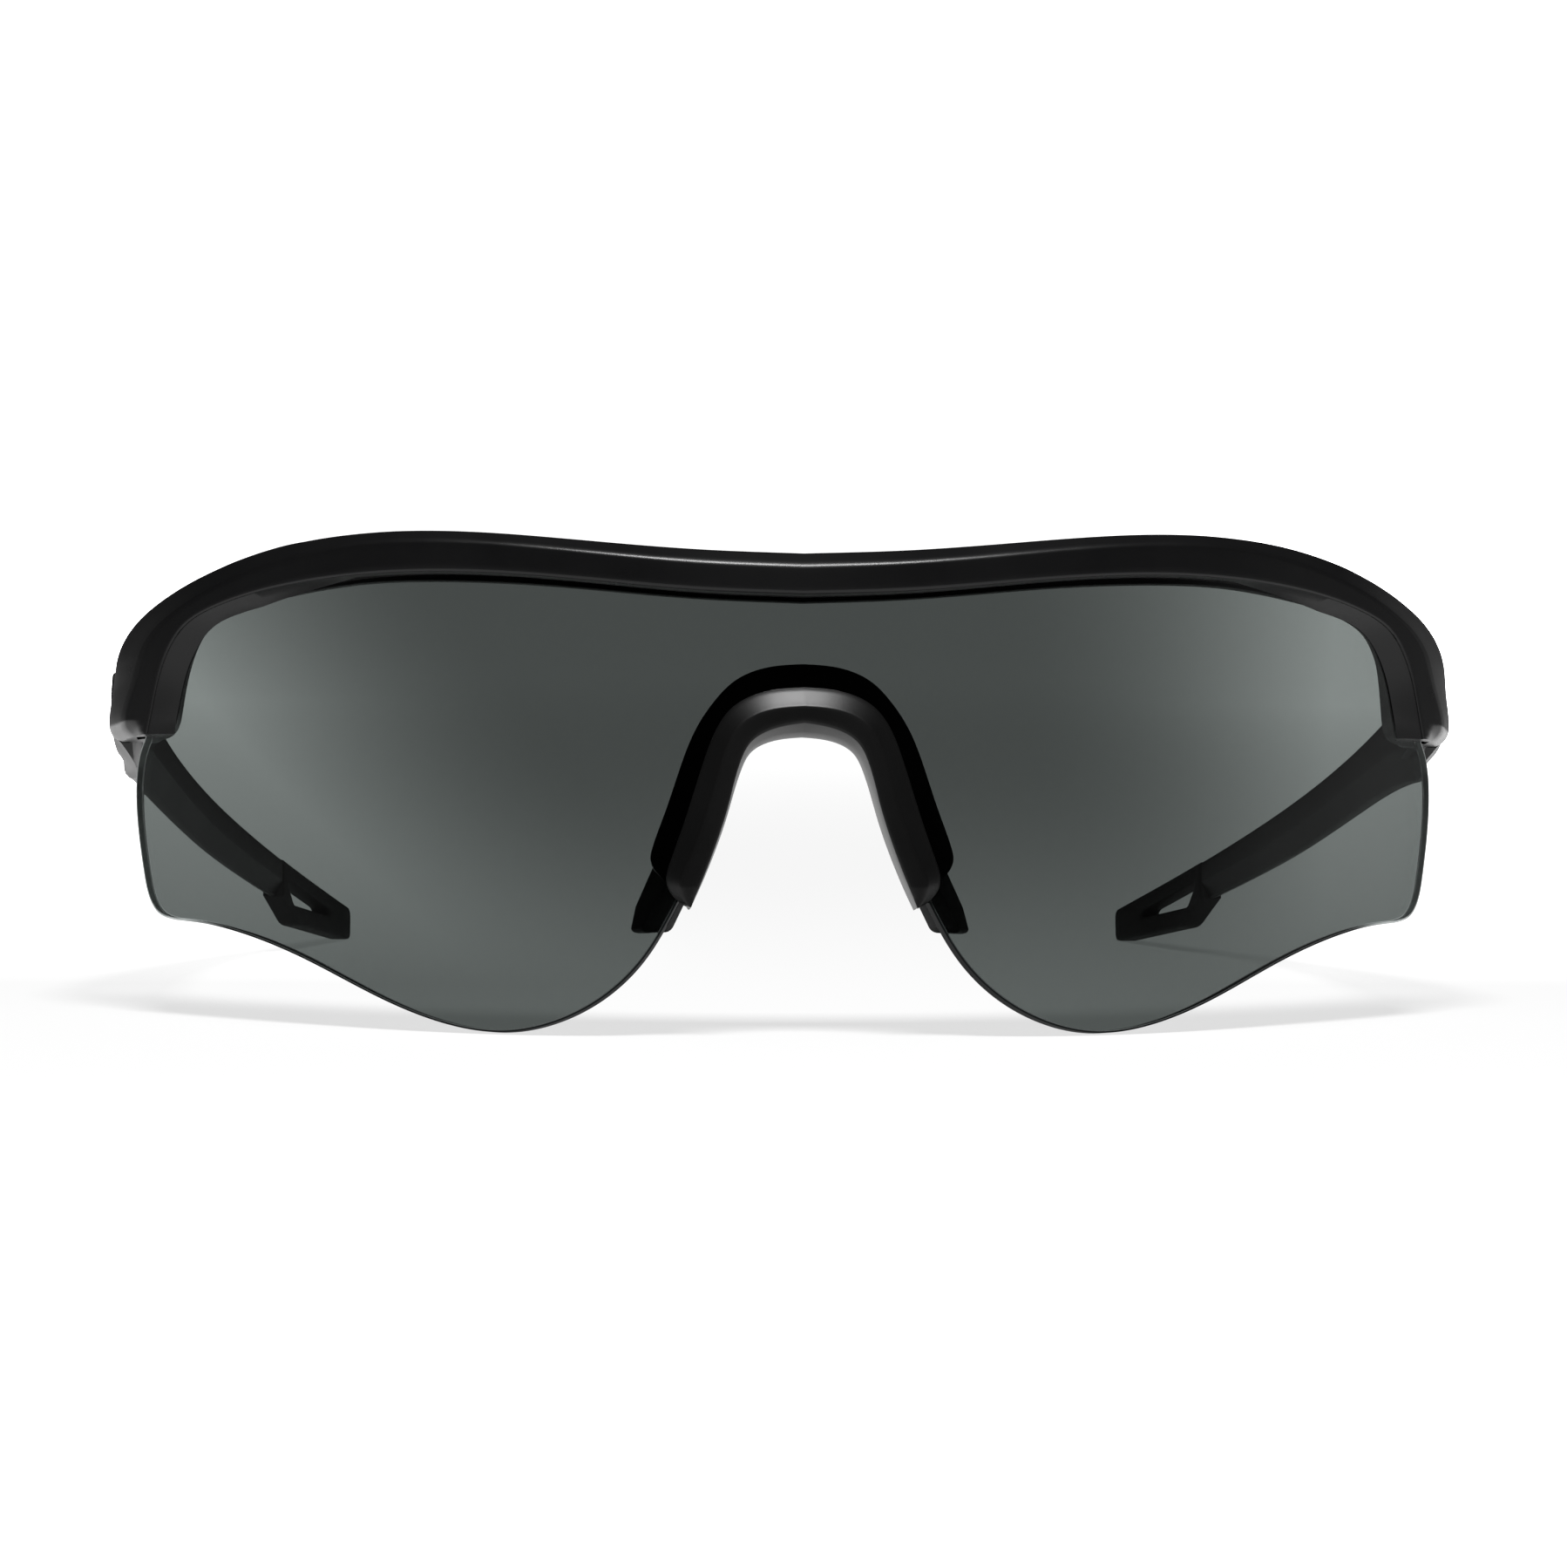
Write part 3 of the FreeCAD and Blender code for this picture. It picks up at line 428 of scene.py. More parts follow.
for node, item in frame["nodes"].items():
    for stem, material in CAD_MATERIALS.items():
        if node.startswith(stem):
            for place_in_list in item.material_slots:
                place_in_list.material = material


# ---------------------------------------------------------------- lens

WRAP = 90.0             # outer radius of the lens
LENS_WALL = 2.0
LENS_GAP = 0.06
LENS_BACK = WRAP - LENS_WALL - LENS_GAP

LENS_TOP = [(0, 46.8), (10.8, 47.2), (25.3, 48.6), (38.0, 49.7), (44.7, 49.8), (52.8, 49.2),
            (60.0, 47.7), (64.9, 45.3), (67.3, 41.8), (68.3, 38.0), (68.65, 35.0), (68.7, 32.3)]
LENS_SIDE = [(68.7, 32.3), (69.2, 31.0), (69.6, 29.2), (69.75, 26.6), (69.45, 22.0), (68.8, 17.6),
             (68.1, 14.8), (67.0, 13.2), (65.2, 12.5)]
LENS_LOBE = [(65.2, 12.5), (62.2, 12.0), (59.0, 11.1), (51.2, 7.75), (43.5, 3.6), (36.6, 0.8), (30.6, -0.1),
             (25.2, 0.95), (20.5, 3.4), (16.6, 7.1), (12.9, 13.25)]
LENS_NOSE = [(12.9, 13.25), (11.5, 17.6), (10.0, 21.9), (8.6, 26.0), (7.7, 28.7), (6.2, 30.9),
             (3.5, 32.3), (0, 32.7)]
LENS_UPPER_CORNER = (67.3, 41.8)
LENS_LOWER_CORNER = (67.2, 13.4)
LENS_EDGE = 0.12        # rounding of the lens's edge
LENS_SHARP = 18         # degrees: keeps the skins' smooth normals from bending at the edge
PAINTED_SHADE_EDGE_END = 73.0     # arc length at which the painted dark lower edge, a painted shade, has faded out
PAINTED_SHADE_EDGE_TOP = 20.0     # height under which the edge is painted dark, a painted shade
PAINTED_HIGHLIGHT_TOP = 34.0     # height under which the rest of the cut is painted pale, a painted highlight
LENS_COLUMNS = 150      # per half
LENS_ROWS = 60


def lens_sides():
    """Bottom, right and top runs of the right half, unrolled to (arc length, height)."""
    runs = [spline(LENS_TOP, 600), spline(LENS_SIDE, 300), spline(LENS_LOBE, 600), spline(LENS_NOSE, 300)]
    rim = np.concatenate([run[:-1] for run in runs] + [runs[-1][-1:]])
    upper = np.argmin(np.linalg.norm(rim - np.array(LENS_UPPER_CORNER), axis=1))
    lower = np.argmin(np.linalg.norm(rim - np.array(LENS_LOWER_CORNER), axis=1))
    rim = np.stack([WRAP * np.arcsin(rim[:, 0] / WRAP), rim[:, 1]], axis=1)
    top = even(rim[:upper + 1], LENS_COLUMNS + 1)
    right = even(rim[upper:lower + 1][::-1], LENS_ROWS + 1)
    bottom = even(rim[lower:][::-1], LENS_COLUMNS + 1)
    return bottom, right, top


def coons(bottom, right, top, left):
    """Grid of points that fills four boundary runs: rows from bottom to top, columns left to right."""
    columns, rows = len(bottom), len(right)
    s = np.linspace(0, 1, columns)[None, :, None]
    t = np.linspace(0, 1, rows)[:, None, None]
    ruled = (1 - t) * bottom[None] + t * top[None] + (1 - s) * left[:, None] + s * right[:, None]
    corners = ((1 - s) * (1 - t) * bottom[0] + s * (1 - t) * bottom[-1]
               + (1 - s) * t * top[0] + s * t * top[-1])
    return ruled - corners


def make_lens():
    bottom, right, top = lens_sides()
    flip = np.array([-1, 1])
    bottom = both_sides(bottom)
    top = both_sides(top)
    left = right * flip
    rim = np.concatenate([bottom, right[1:], top[::-1][1:], left[::-1][1:-1]])
    into = inward(rim)
    edge = LENS_EDGE
    band = 0.3
    steps = [(band, 0.0), (0.5 * band, 0.0), (0.3 * edge, 0.3 * edge), (0.0, edge)]
    steps += [(0.0, LENS_WALL / 2)] + [(inset, LENS_WALL - depth) for inset, depth in steps[::-1]]
    inner = rim + into * band
    columns, rows = len(bottom), len(right)
    ends = np.cumsum([0, columns - 1, rows - 1, columns - 1, rows - 1])
    loop = np.concatenate([inner, inner[:1]])
    side = [loop[a:b + 1] for a, b in zip(ends, ends[1:])]
    grid = coons(side[0], side[1], side[2][::-1], side[3][::-1])

    verts = []
    faces = []

    def add(flat, depth):
        start = len(verts)
        angle = flat[:, 0] / WRAP
        reach = WRAP - depth
        verts.extend(np.stack([reach * np.sin(angle), WRAP - reach * np.cos(angle), flat[:, 1]], axis=1))
        return np.arange(start, start + len(flat))

    border = np.concatenate([np.arange(columns), columns * np.arange(1, rows) + columns - 1,
                             columns * (rows - 1) + np.arange(columns - 2, -1, -1),
                             columns * np.arange(rows - 2, 0, -1)])
    skins = []
    for depth in (0.0, LENS_WALL):
        index = add(grid.reshape(-1, 2), depth).reshape(rows, columns)
        skins.append(index)
        for j in range(rows - 1):
            for i in range(columns - 1):
                faces.append((index[j, i], index[j, i + 1], index[j + 1, i + 1], index[j + 1, i]))
    rings = [skins[0].ravel()[border]]
    rings += [add(rim + into * inset, depth) for inset, depth in steps[1:-1]]
    rings += [skins[1].ravel()[border]]
    for near, far in zip(rings, rings[1:]):
        for j in range(len(near)):
            k = (j + 1) % len(near)
            faces.append((near[j], near[k], far[k], far[j]))
    lens = new_object("lens", place(verts, FRONT), faces, LENS_SMOKE, "front",
                      "shield_lens", LENS_SHARP)
    # Painted shade along the lower edge: a near-black band that fades out towards the lens's sides and is
    # kept below the given height.
    painted_shade_edge_share = smoothstep((PAINTED_SHADE_EDGE_END - np.abs(rim[:, 0])) / 8.0) * (rim[:, 1] < PAINTED_SHADE_EDGE_TOP)
    # Painted highlight along the side cut: a pale band where the dark lower edge ends, below the given
    # height.
    painted_highlight_share = (1.0 - painted_shade_edge_share) * (rim[:, 1] < PAINTED_HIGHLIGHT_TOP)
    on_skin = 2 * grid.shape[0] * grid.shape[1]
    for named, share in (("rim", painted_shade_edge_share), ("painted_highlight_band", painted_highlight_share)):
        layer = lens.data.attributes.new(named, "FLOAT", "POINT")
        layer.data.foreach_set("value", [0.0] * on_skin + list(np.tile(share, len(steps) - 2)))
    return lens


# ---------------------------------------------------------------- brow

BROW_TOP = [(0, 49.1), (10.8, 49.55), (25.3, 50.95), (38.0, 52.1), (44.7, 52.2), (52.6, 51.55),
            (61.1, 49.4), (67.5, 46.4), (70.7, 43.6), (71.9, 41.3), (72.4, 38.0), (72.9, 34.6),
            (72.6, 33.1), (71.5, 32.35)]
BROW_WINDOW = [(0, 44.65), (10.7, 45.1), (25.0, 46.6), (38.0, 47.65), (44.7, 47.7), (52.8, 47.1),
               (61.0, 45.3), (64.1, 43.7), (66.0, 41.2), (67.1, 38.4), (68.0, 34.3), (68.4, 32.35)]
BROW_LIP = [(0, 44.1), (10.8, 44.6), (25.3, 46.1), (38.0, 47.05), (44.8, 47.1), (52.5, 46.3),
            (58.6, 44.9), (61.3, 43.3), (62.6, 41.0), (63.6, 38.0), (64.1, 35.6), (64.9, 33.3),
            (66.9, 32.35)]
FRONT_WALL = 2.0        # brow in front of the lens
REAR_WALL = 1.55        # brow lip behind the lens
BUTT_GAP = 0.15
SHOULDER_TOP = 0.25     # shoulder above the temple's top edge at the butt plane
SHOULDER_SLOPE = math.tan(math.radians(14.5))
WALL_FROM, WALL_TO = 62.9, 66.3     # the lip deepens into the end piece between these x
RIBS = 420


def wrap_depth(x, radius):
    """Depth of a wrap surface of that radius at x."""
    return WRAP - np.sqrt(np.maximum(radius ** 2 - x ** 2, 1.0))


def depth_of_plane(z, spot, slope):
    """Front-frame depth, at height z, of a temple-frame plane through spot (y, z) with that slope."""
    turn = np.array(FRONT_FROM_TEMPLE.to_3x3())
    shift = np.array(FRONT_FROM_TEMPLE.translation) / MM
    start = shift + turn @ np.array([0, spot[0], spot[1]])
    along = turn @ np.array([0, slope[0], slope[1]])
    return start[1] + along[1] * (z - start[2]) / along[2]


def rear_depth(x, z):
    """Rear surface of the brow: the lip behind the lens, deepening into the end piece."""
    butt = depth_of_plane(z, (BUTT_Y - BUTT_GAP, 0), (0, 1))
    shoulder = depth_of_plane(z, (BUTT_Y, SHOULDER_TOP), (-1, SHOULDER_SLOPE))
    block = softmin(butt, shoulder, 0.6)
    lip = wrap_depth(np.minimum(x, 66.0), LENS_BACK - REAR_WALL)
    share = smoothstep((x - WALL_FROM) / (WALL_TO - WALL_FROM))
    return lip + (np.maximum(block, lip) - lip) * share


def turned_under(spot):
    """Extra depth of the front surface where the end piece's lower end turns under."""
    start = 32.35 + 1.6 * smoothstep((spot[0] - 68.6) / 1.6)
    drop = max(start - spot[1], 0.0)
    return 1.15 * drop * drop / (drop + 0.12)


def brow_section(window, top, lip, share):
    """Closed ring of one rib: across the front from window to top, over, and back along the rear."""
    across = top - window
    length = np.linalg.norm(across)
    across = across / length
    crease = np.interp(share, [0, 0.55, 0.72, 0.82, 0.9, 1.0], [1.4, 1.6, 2.6, 3.2, 2.8, 1.4])
    drop = np.interp(share, [0, 0.5, 0.7, 0.8, 0.9, 1.0], [1.9, 2.1, 3.6, 6.0, 7.6, 7.9])
    ring = []

    def front_at(spot):
        return wrap_depth(spot[0], WRAP + FRONT_WALL) + turned_under(spot)

    def rear_at(spot):
        return float(rear_depth(spot[0], spot[1]))

    def add(spot, depth):
        ring.append((spot[0], depth, spot[1]))

    foot = window - across * np.interp(share, [0, 0.6, 0.76, 1], [0.05, 0.1, 2.6, 2.9])
    lens_face = wrap_depth(foot[0], WRAP + LENS_GAP)
    base = front_at(window)
    edge = min(0.45, 0.3 * length)
    add(foot, lens_face)
    add(foot * 0.55 + window * 0.45, 0.55 * lens_face + 0.45 * (base + edge) - 0.12)
    for turn in (0.0, 0.25, 0.5, 0.75, 1.0):
        sweep = turn * math.pi / 2
        spot = window + across * edge * (1 - math.cos(sweep))
        add(spot, front_at(spot) + edge * (1 - math.sin(sweep)))
    crease_spot = top - across * crease
    flat = length - crease - edge
    rounding = min(0.42, 0.38 * crease, 0.3 * flat)
    for part in (0.25, 0.5, 0.75):
        spot = window + across * (edge + part * (flat - rounding))
        add(spot, front_at(spot))
    slope = drop / crease
    corner = wrap_depth(crease_spot[0], WRAP + FRONT_WALL)
    for turn in (-1.0, -0.5, 0.0, 0.5, 1.0):
        spot = crease_spot + across * rounding * turn
        blend = (1 - abs(turn)) ** 2 * 0.25 * rounding * slope
        if turn <= 0:
            add(spot, front_at(spot) + blend)
        else:
            add(spot, corner + rounding * turn * slope + blend + turned_under(spot))
    for part in (0.4, 0.6, 0.8, 0.93):
        spot = crease_spot + across * crease * part
        add(spot, corner + drop * part + turned_under(spot))
    rim = corner + drop + turned_under(top)
    add(top - across * 0.02, rim + 0.02 * slope)
    add(top, rim + 0.3)
    top_rear = max(rear_at(top - across * 0.5), rim + 0.8)
    swell = 0.55 * smoothstep((share - 0.52) / 0.12) * smoothstep((0.8 - share) / 0.1)
    for part in (0.3, 0.55, 0.8):
        lift = np.array([0.0, swell * part])
        add(top + lift, rim + 0.3 + (top_rear - 0.4 - rim - 0.3) * part)
    add(top + np.array([0.0, 0.9 * swell]), top_rear - 0.4)
    over = lip - top
    reach = np.linalg.norm(over)
    over = over / reach
    add(top + over * 0.12, top_rear - 0.12)
    for part in np.linspace(0, 1, 26):
        spot = top + over * (0.4 + part * (reach - 0.75))
        add(spot, rear_at(spot))
    lip_rear = rear_at(lip - over * 0.4)
    add(lip - over * 0.1, lip_rear - 0.1)
    add(lip, lip_rear - 0.35)
    lens_back = wrap_depth(lip[0], LENS_BACK)
    add(lip, lens_back + 0.2)
    add(lip - over * 0.1, lens_back)
    root = window + across * min(2.0, 0.42 * length)
    add(root, wrap_depth(root[0], LENS_BACK))
    add(root, wrap_depth(root[0], WRAP + LENS_GAP))
    return ring


def make_brow():
    shares = np.linspace(0, 1, RIBS)
    tops = spline(BROW_TOP, RIBS)
    windows = spline(BROW_WINDOW, RIBS)
    lips = spline(BROW_LIP, RIBS)
    half = np.array([brow_section(w, t, p, s) for w, t, p, s in zip(windows, tops, lips, shares)])
    left = half[1:][::-1] * np.array([-1, 1, 1])
    rings = np.concatenate([left, half])
    verts, faces = tube(place(rings.reshape(-1, 3), FRONT).reshape(rings.shape))
    return new_object("brow", verts, faces, FRAME_BLACK, "front", "brow_frame")


# ---------------------------------------------------------------- nose bridge

NOSE_FRONT = [(0, 35.2), (5.2, 34.4), (7.5, 33.0), (8.9, 31.1), (10.1, 28.2), (12.1, 21.9),
              (13.7, 17.3), (14.1, 15.7), (13.9, 14.5), (13.1, 13.4), (12.3, 12.75), (11.8, 12.5)]
NOSE_FLANGE = [(0, 37.75), (3.4, 37.45), (7.0, 36.0), (9.0, 34.0), (10.8, 31.3), (12.4, 27.4),
               (14.0, 22.6), (15.3, 18.9), (15.5, 17.6), (15.0, 16.4), (13.8, 15.2), (12.4, 13.6),
               (11.8, 12.6)]
NOSE_INNER = [(0, 30.3), (3.4, 29.8), (5.3, 28.7), (6.3, 26.9), (7.8, 22.0), (9.5, 17.2),
              (11.4, 12.9), (11.6, 12.5)]
CLIP_FRONT = 91.9
CLIP_EDGE = 90.7
FLANGE_REAR = 86.19
CLIP_RIBS = 180


def clip_section(inner, front, flange, share):
    """Closed ring of one rib of the clip: front arch, bevel, groove for the lens, rear flange."""
    out = front - inner
    width = np.linalg.norm(out)
    out = out / width
    back = flange - inner
    reach = np.linalg.norm(back)
    back = back / reach
    ring = []

    def add(spot, radius):
        ring.append((spot[0], WRAP - math.sqrt(radius ** 2 - spot[0] ** 2), spot[1]))

    draft = np.interp(share, [0, 0.3, 0.5, 1], [1.1, 0.6, 0.3, 0.1]) * min(1, width / 2)
    bevel = np.interp(share, [0, 0.5, 0.8, 1], [1.8, 1.8, 1.5, 0.6]) * min(1, width / 2.8)
    edge = min(0.3, 0.15 * width)
    sunk = CLIP_FRONT - np.interp(share, [0.9, 1], [0, 0.2])
    lip = min(CLIP_EDGE, sunk - 0.2)
    for turn in (0.0, 0.33, 0.67, 1.0):
        sweep = turn * math.pi / 2
        add(inner + out * (draft + edge * (1 - math.cos(sweep))), sunk - edge * (1 - math.sin(sweep)))
    face = max(width - bevel - draft - 2 * edge, 0.05)
    for part in (0.35, 0.7):
        add(inner + out * (draft + edge + face * part), sunk)
    crest = draft + edge + face
    add(inner + out * crest, sunk - 0.01)
    add(inner + out * (crest + 0.4 * edge), sunk - 0.05)
    add(inner + out * (crest + 0.9 * edge), sunk - 0.16)
    left = width - crest - 0.9 * edge
    for part in (0.35, 0.7, 0.95):
        add(inner + out * (crest + 0.9 * edge + left * part), sunk - 0.16 + (lip - sunk + 0.16) * part)
    add(front, lip - 0.08)
    add(front, WRAP + LENS_GAP / 2)
    web = np.interp(share, [0, 0.25, 0.5, 1], [2.3, 1.6, 1.3, 0.6]) * min(1, width / 2)
    add(inner + out * web, WRAP + LENS_GAP / 2)
    add(inner + back * web, LENS_BACK)
    add(flange, LENS_BACK)
    add(flange, FLANGE_REAR + 0.5)
    add(flange - back * 0.05 * min(reach, 1), FLANGE_REAR + 0.2)
    add(flange - back * 0.2 * min(reach, 1), FLANGE_REAR + 0.03)
    for part in (0.1, 0.4, 0.7, 1.0):
        add(flange - back * (0.25 + part * 0.6) * reach, FLANGE_REAR)
    add(inner + back * 0.04 * min(reach, 1), FLANGE_REAR + 0.15)
    add(inner, FLANGE_REAR + 0.4)
    add(inner, LENS_BACK)
    add(inner + out * draft * 0.35, WRAP)
    return ring


def make_bridge():
    shares = np.linspace(0, 1, CLIP_RIBS)
    runs = [spline(run, CLIP_RIBS) for run in (NOSE_INNER, NOSE_FRONT, NOSE_FLANGE)]
    half = np.array([clip_section(i, f, g, s) for i, f, g, s in zip(*runs, shares)])
    left = half[1:][::-1] * np.array([-1, 1, 1])
    rings = np.concatenate([left, half])
    verts, faces = tube(place(rings.reshape(-1, 3), FRONT).reshape(rings.shape))
    return new_object("bridge", verts, faces, BRIDGE_BLACK, "front", "nose_bridge")


# ---------------------------------------------------------------- nose pads

# Height, inner front corner x, splay in degrees and depth of each pad section.
PAD_SECTIONS = [(10.2, 12.4, 30.0, 6.8), (13.0, 11.2, 29.0, 8.2), (17.5, 9.4, 26.5, 8.4),
                (24.0, 7.3, 20.0, 6.4), (27.5, 6.35, 14.0, 4.2)]
PAD_THICKNESS = 2.3
PAD_FRONT_Y = 3.0
PAD_LEVELS = 150
RIDGE_PITCH = 1.7
RIDGE_DEPTH = 0.28


def ridge(height):
    """Sawtooth-like groove depth at that height: each ridge overhangs the one below it."""
    phase = (height / RIDGE_PITCH) % 1.0
    return RIDGE_DEPTH * (1 - smoothstep(phase / 0.8)) * smoothstep(phase / 0.12)


def pad_ring(height, corner, splay, depth, shrink):
    """Level section of a pad, run round from its front inner corner, with ridges on its nose side."""
    turn = math.radians(splay)
    along = np.array([math.sin(turn), math.cos(turn)])
    across = np.array([math.cos(turn), -math.sin(turn)])
    start = np.array([corner, PAD_FRONT_Y])
    bed = FLANGE_REAR - 0.02
    radius = 0.75

    def clear(side):
        """Distance along the blade at which it clears the bridge's rear face."""
        reach = 0.0
        for _ in range(8):
            x, y = start + across * side + along * reach
            reach += max(WRAP - math.sqrt(bed ** 2 - x ** 2) - y, -reach) / along[1]
        return reach

    half = PAD_THICKNESS / 2 - shrink
    end = depth - shrink
    spots = []
    near_start, far_start = clear(0.0), clear(PAD_THICKNESS)
    for part in np.linspace(0, 1, 16):
        reach = near_start + 0.05 + (end - radius - near_start - 0.05) * part
        window = smoothstep((reach - near_start - 0.4) / 0.5) * smoothstep((end - 0.4 - reach) / 0.9)
        spots.append((reach, shrink + ridge(height) * window))
    for part in np.linspace(0.1, 0.9, 9):
        sweep = part * math.pi
        spots.append((end - radius + radius * math.sin(sweep), PAD_THICKNESS / 2 - half * math.cos(sweep)))
    for part in np.linspace(1, 0, 10):
        reach = far_start + 0.05 + (end - radius - far_start - 0.05) * part
        spots.append((reach, PAD_THICKNESS - shrink))
    return [(*(start + along * reach + across * side), height) for reach, side in spots]


def pad_rings():
    sections = np.array(PAD_SECTIONS)
    low, high = sections[0, 0], sections[-1, 0]
    levels = [(low, 0.55), (low + 0.08, 0.3), (low + 0.25, 0.1)]
    levels += [(z, 0.0) for z in np.linspace(low + 0.5, high - 0.5, PAD_LEVELS)]
    levels += [(high - 0.25, 0.1), (high - 0.08, 0.3), (high, 0.55)]
    rings = []
    for height, shrink in levels:
        corner, splay, depth = (np.interp(height, sections[:, 0], sections[:, k]) for k in (1, 2, 3))
        rings.append(pad_ring(height, corner, splay, depth, shrink))
    return np.array(rings)


def make_pads():
    rings = pad_rings()
    verts, faces = tube(place(rings.reshape(-1, 3), FRONT).reshape(rings.shape))
    for side, (spots, loops) in {"right": (verts, faces), "left": mirror(verts, faces)}.items():
        new_object("pad_" + side, spots, loops, NOSE_RUBBER, "front", "nose_pad_" + side, 50)


# ---------------------------------------------------------------- temples

ARM_INNER = [(6.15, 69.0), (14.0, 68.9), (25.0, 68.3), (42.0, 66.6), (60.0, 63.7), (80.0, 59.2),
             (100.0, 53.7), (118.5, 48.0)]
ARM_OUTER = [(6.15, 72.8), (14.0, 72.3), (25.0, 71.5), (42.0, 69.7), (60.0, 66.4), (80.0, 61.7),
             (100.0, 55.9), (118.5, 50.2)]
ARM_UNDER = [(6.15, -7.9), (8.2, -8.9), (11.0, -9.6), (14.0, -9.6), (19.0, -8.6), (27.0, -7.2),
             (38.0, -6.1), (64.0, -5.5), (80.0, -5.0), (92.0, -4.6)]
ROOT_HIGH, ROOT_LOW = (75.0, -4.4), (67.2, -12.5)       # slant that trims the root's lower outer corner
ROOT_SLOPE = (ROOT_HIGH[0] - ROOT_LOW[0]) / (ROOT_HIGH[1] - ROOT_LOW[1])
SLEEVE_START = 92.0
SLEEVE_SKIN = 0.15
TONGUE = (92.0, 112.5)
RELIEF = 1.95
RELIEF_TOP = -0.9
CROWN = 0.12            # how far the arm's outer face bulges


def along_y(points):
    """A smooth function of y through (y, value) points."""
    dense = spline(points, 3000)
    return lambda y: np.interp(y, dense[:, 0], dense[:, 1])


arm_inner = along_y(ARM_INNER)
arm_outer = along_y(ARM_OUTER)
arm_under = along_y(ARM_UNDER)


def arm_ring(y):
    """Section of the arm: flat upper inner face, bevelled lower one, crowned outside."""
    near, far, low = float(arm_inner(y)), float(arm_outer(y)), float(arm_under(y))
    wide, tall = far - near, -low
    small = min(0.45, 0.2 * wide)
    bevel = 0.34 * wide
    relief = near
    if abs(y - BUTT_Y) < RELIEF:
        relief = max(near, HINGE_X + math.sqrt(RELIEF ** 2 - (y - BUTT_Y) ** 2))
    section = [(near, RELIEF_TOP + 0.01), (near, -small)]
    for turn in (0.33, 0.67, 1.0):
        sweep = turn * math.pi / 2
        section.append((near + small * (1 - math.cos(sweep)), -small * (1 - math.sin(sweep))))
    section += [(near + wide * part, 0.0) for part in (0.35, 0.65)]
    for turn in (0.0, 0.33, 0.67, 1.0):
        sweep = turn * math.pi / 2
        section.append((far - CROWN - small * (1 - math.sin(sweep)), -small * (1 - math.cos(sweep))))
    for part in (0.2, 0.4, 0.6, 0.8):
        section.append((far - CROWN * (2 * part - 1) ** 2, -small - (tall - 3 * small) * part))
    for turn in (0.0, 0.25, 0.5, 0.75, 1.0):
        sweep = turn * math.pi / 2
        section.append((far - CROWN - 2 * small * (1 - math.cos(sweep)),
                        low + 2 * small * (1 - math.sin(sweep))))
    section.append((near + 0.5 * (bevel + wide - 2 * small), low))
    for turn in (0.0, 0.5, 1.0):
        sweep = turn * math.pi / 2
        section.append((near + bevel + small * (1 - math.sin(sweep)), low + small * (1 - math.cos(sweep))))
    crease = -0.57 * tall
    for part in (0.35, 0.7, 0.96):
        section.append((near + bevel * (1 - part), low + small + (crease - low - small) * part))
    for part in (0.04, 0.35, 0.7, 1.0):
        section.append((near, crease + (RELIEF_TOP - 0.01 - crease) * part))
    ring = []
    for x, z in section:
        slant = ROOT_LOW[0] + (z - ROOT_LOW[1]) * ROOT_SLOPE
        x = min(x, slant)
        if z < RELIEF_TOP:
            x = max(x, relief)
        ring.append((x, y, z))
    return ring


def tongue_rings():
    rings = []
    for y in np.linspace(TONGUE[0] - 4, TONGUE[1], 20):
        middle = (arm_inner(y) + arm_outer(y)) / 2
        corners = ((-0.5, -1.6), (-0.5, -0.5), (0.5, -0.5), (0.5, -1.6))
        rings.append([(middle + offset, y, z) for offset, z in corners])
    return np.array(rings)


def make_arms():
    stations = np.concatenate([[6.15, 6.3], np.linspace(6.5, 7.9, 9), [7.94], np.linspace(8.2, 20, 30),
                               np.linspace(20.6, SLEEVE_START, 90)])
    rings = np.array([arm_ring(y) for y in stations])
    verts, faces = tube(place(rings.reshape(-1, 3), TEMPLE).reshape(rings.shape))
    tongue = tongue_rings()
    more_verts, more_faces = tube(place(tongue.reshape(-1, 3), TEMPLE).reshape(tongue.shape))
    faces += [tuple(i + len(verts) for i in face) for face in more_faces]
    verts += more_verts
    for side, (spots, loops) in {"right": (verts, faces), "left": mirror(verts, faces)}.items():
        new_object("arm_" + side, spots, loops, TEMPLE_BLACK, "temple_" + side,
                   "temple_arm_" + side)


TIP_UNDER = [(92.0, -4.6), (94.4, -5.4), (96.6, -6.15), (98.2, -6.6), (99.8, -6.5), (107.0, -5.5),
             (117.0, -4.15)]
TIP_END = [(117.0, -4.15), (117.7, -3.9), (118.0, -3.3), (118.0, -0.8), (117.75, -0.25), (117.2, 0.0)]
TIP_HOLE = [(93.3, -1.95), (96.4, -4.6), (109.8, -2.8), (110.5, -2.35), (109.6, -1.95)]


def rounded(corners, radius, steps=5):
    """Closed run with each corner replaced by a short curve."""
    corners = np.array(corners, float)
    run = []
    for before, corner, after in zip(np.roll(corners, 1, axis=0), corners, np.roll(corners, -1, axis=0)):
        back, ahead = before - corner, after - corner
        reach = min(radius, 0.45 * np.linalg.norm(back), 0.45 * np.linalg.norm(ahead))
        start = corner + back / np.linalg.norm(back) * reach
        end = corner + ahead / np.linalg.norm(ahead) * reach
        for t in np.linspace(0, 1, steps):
            run.append((1 - t) ** 2 * start + 2 * t * (1 - t) * corner + t * t * end)
    return np.array(run)


def closed_even(points, spacing):
    """A closed run resampled at about that spacing."""
    loop = np.concatenate([points, points[:1]])
    length = np.sum(np.linalg.norm(np.diff(loop, axis=0), axis=1))
    return even(loop, max(int(length / spacing), 8) + 1)[:-1]


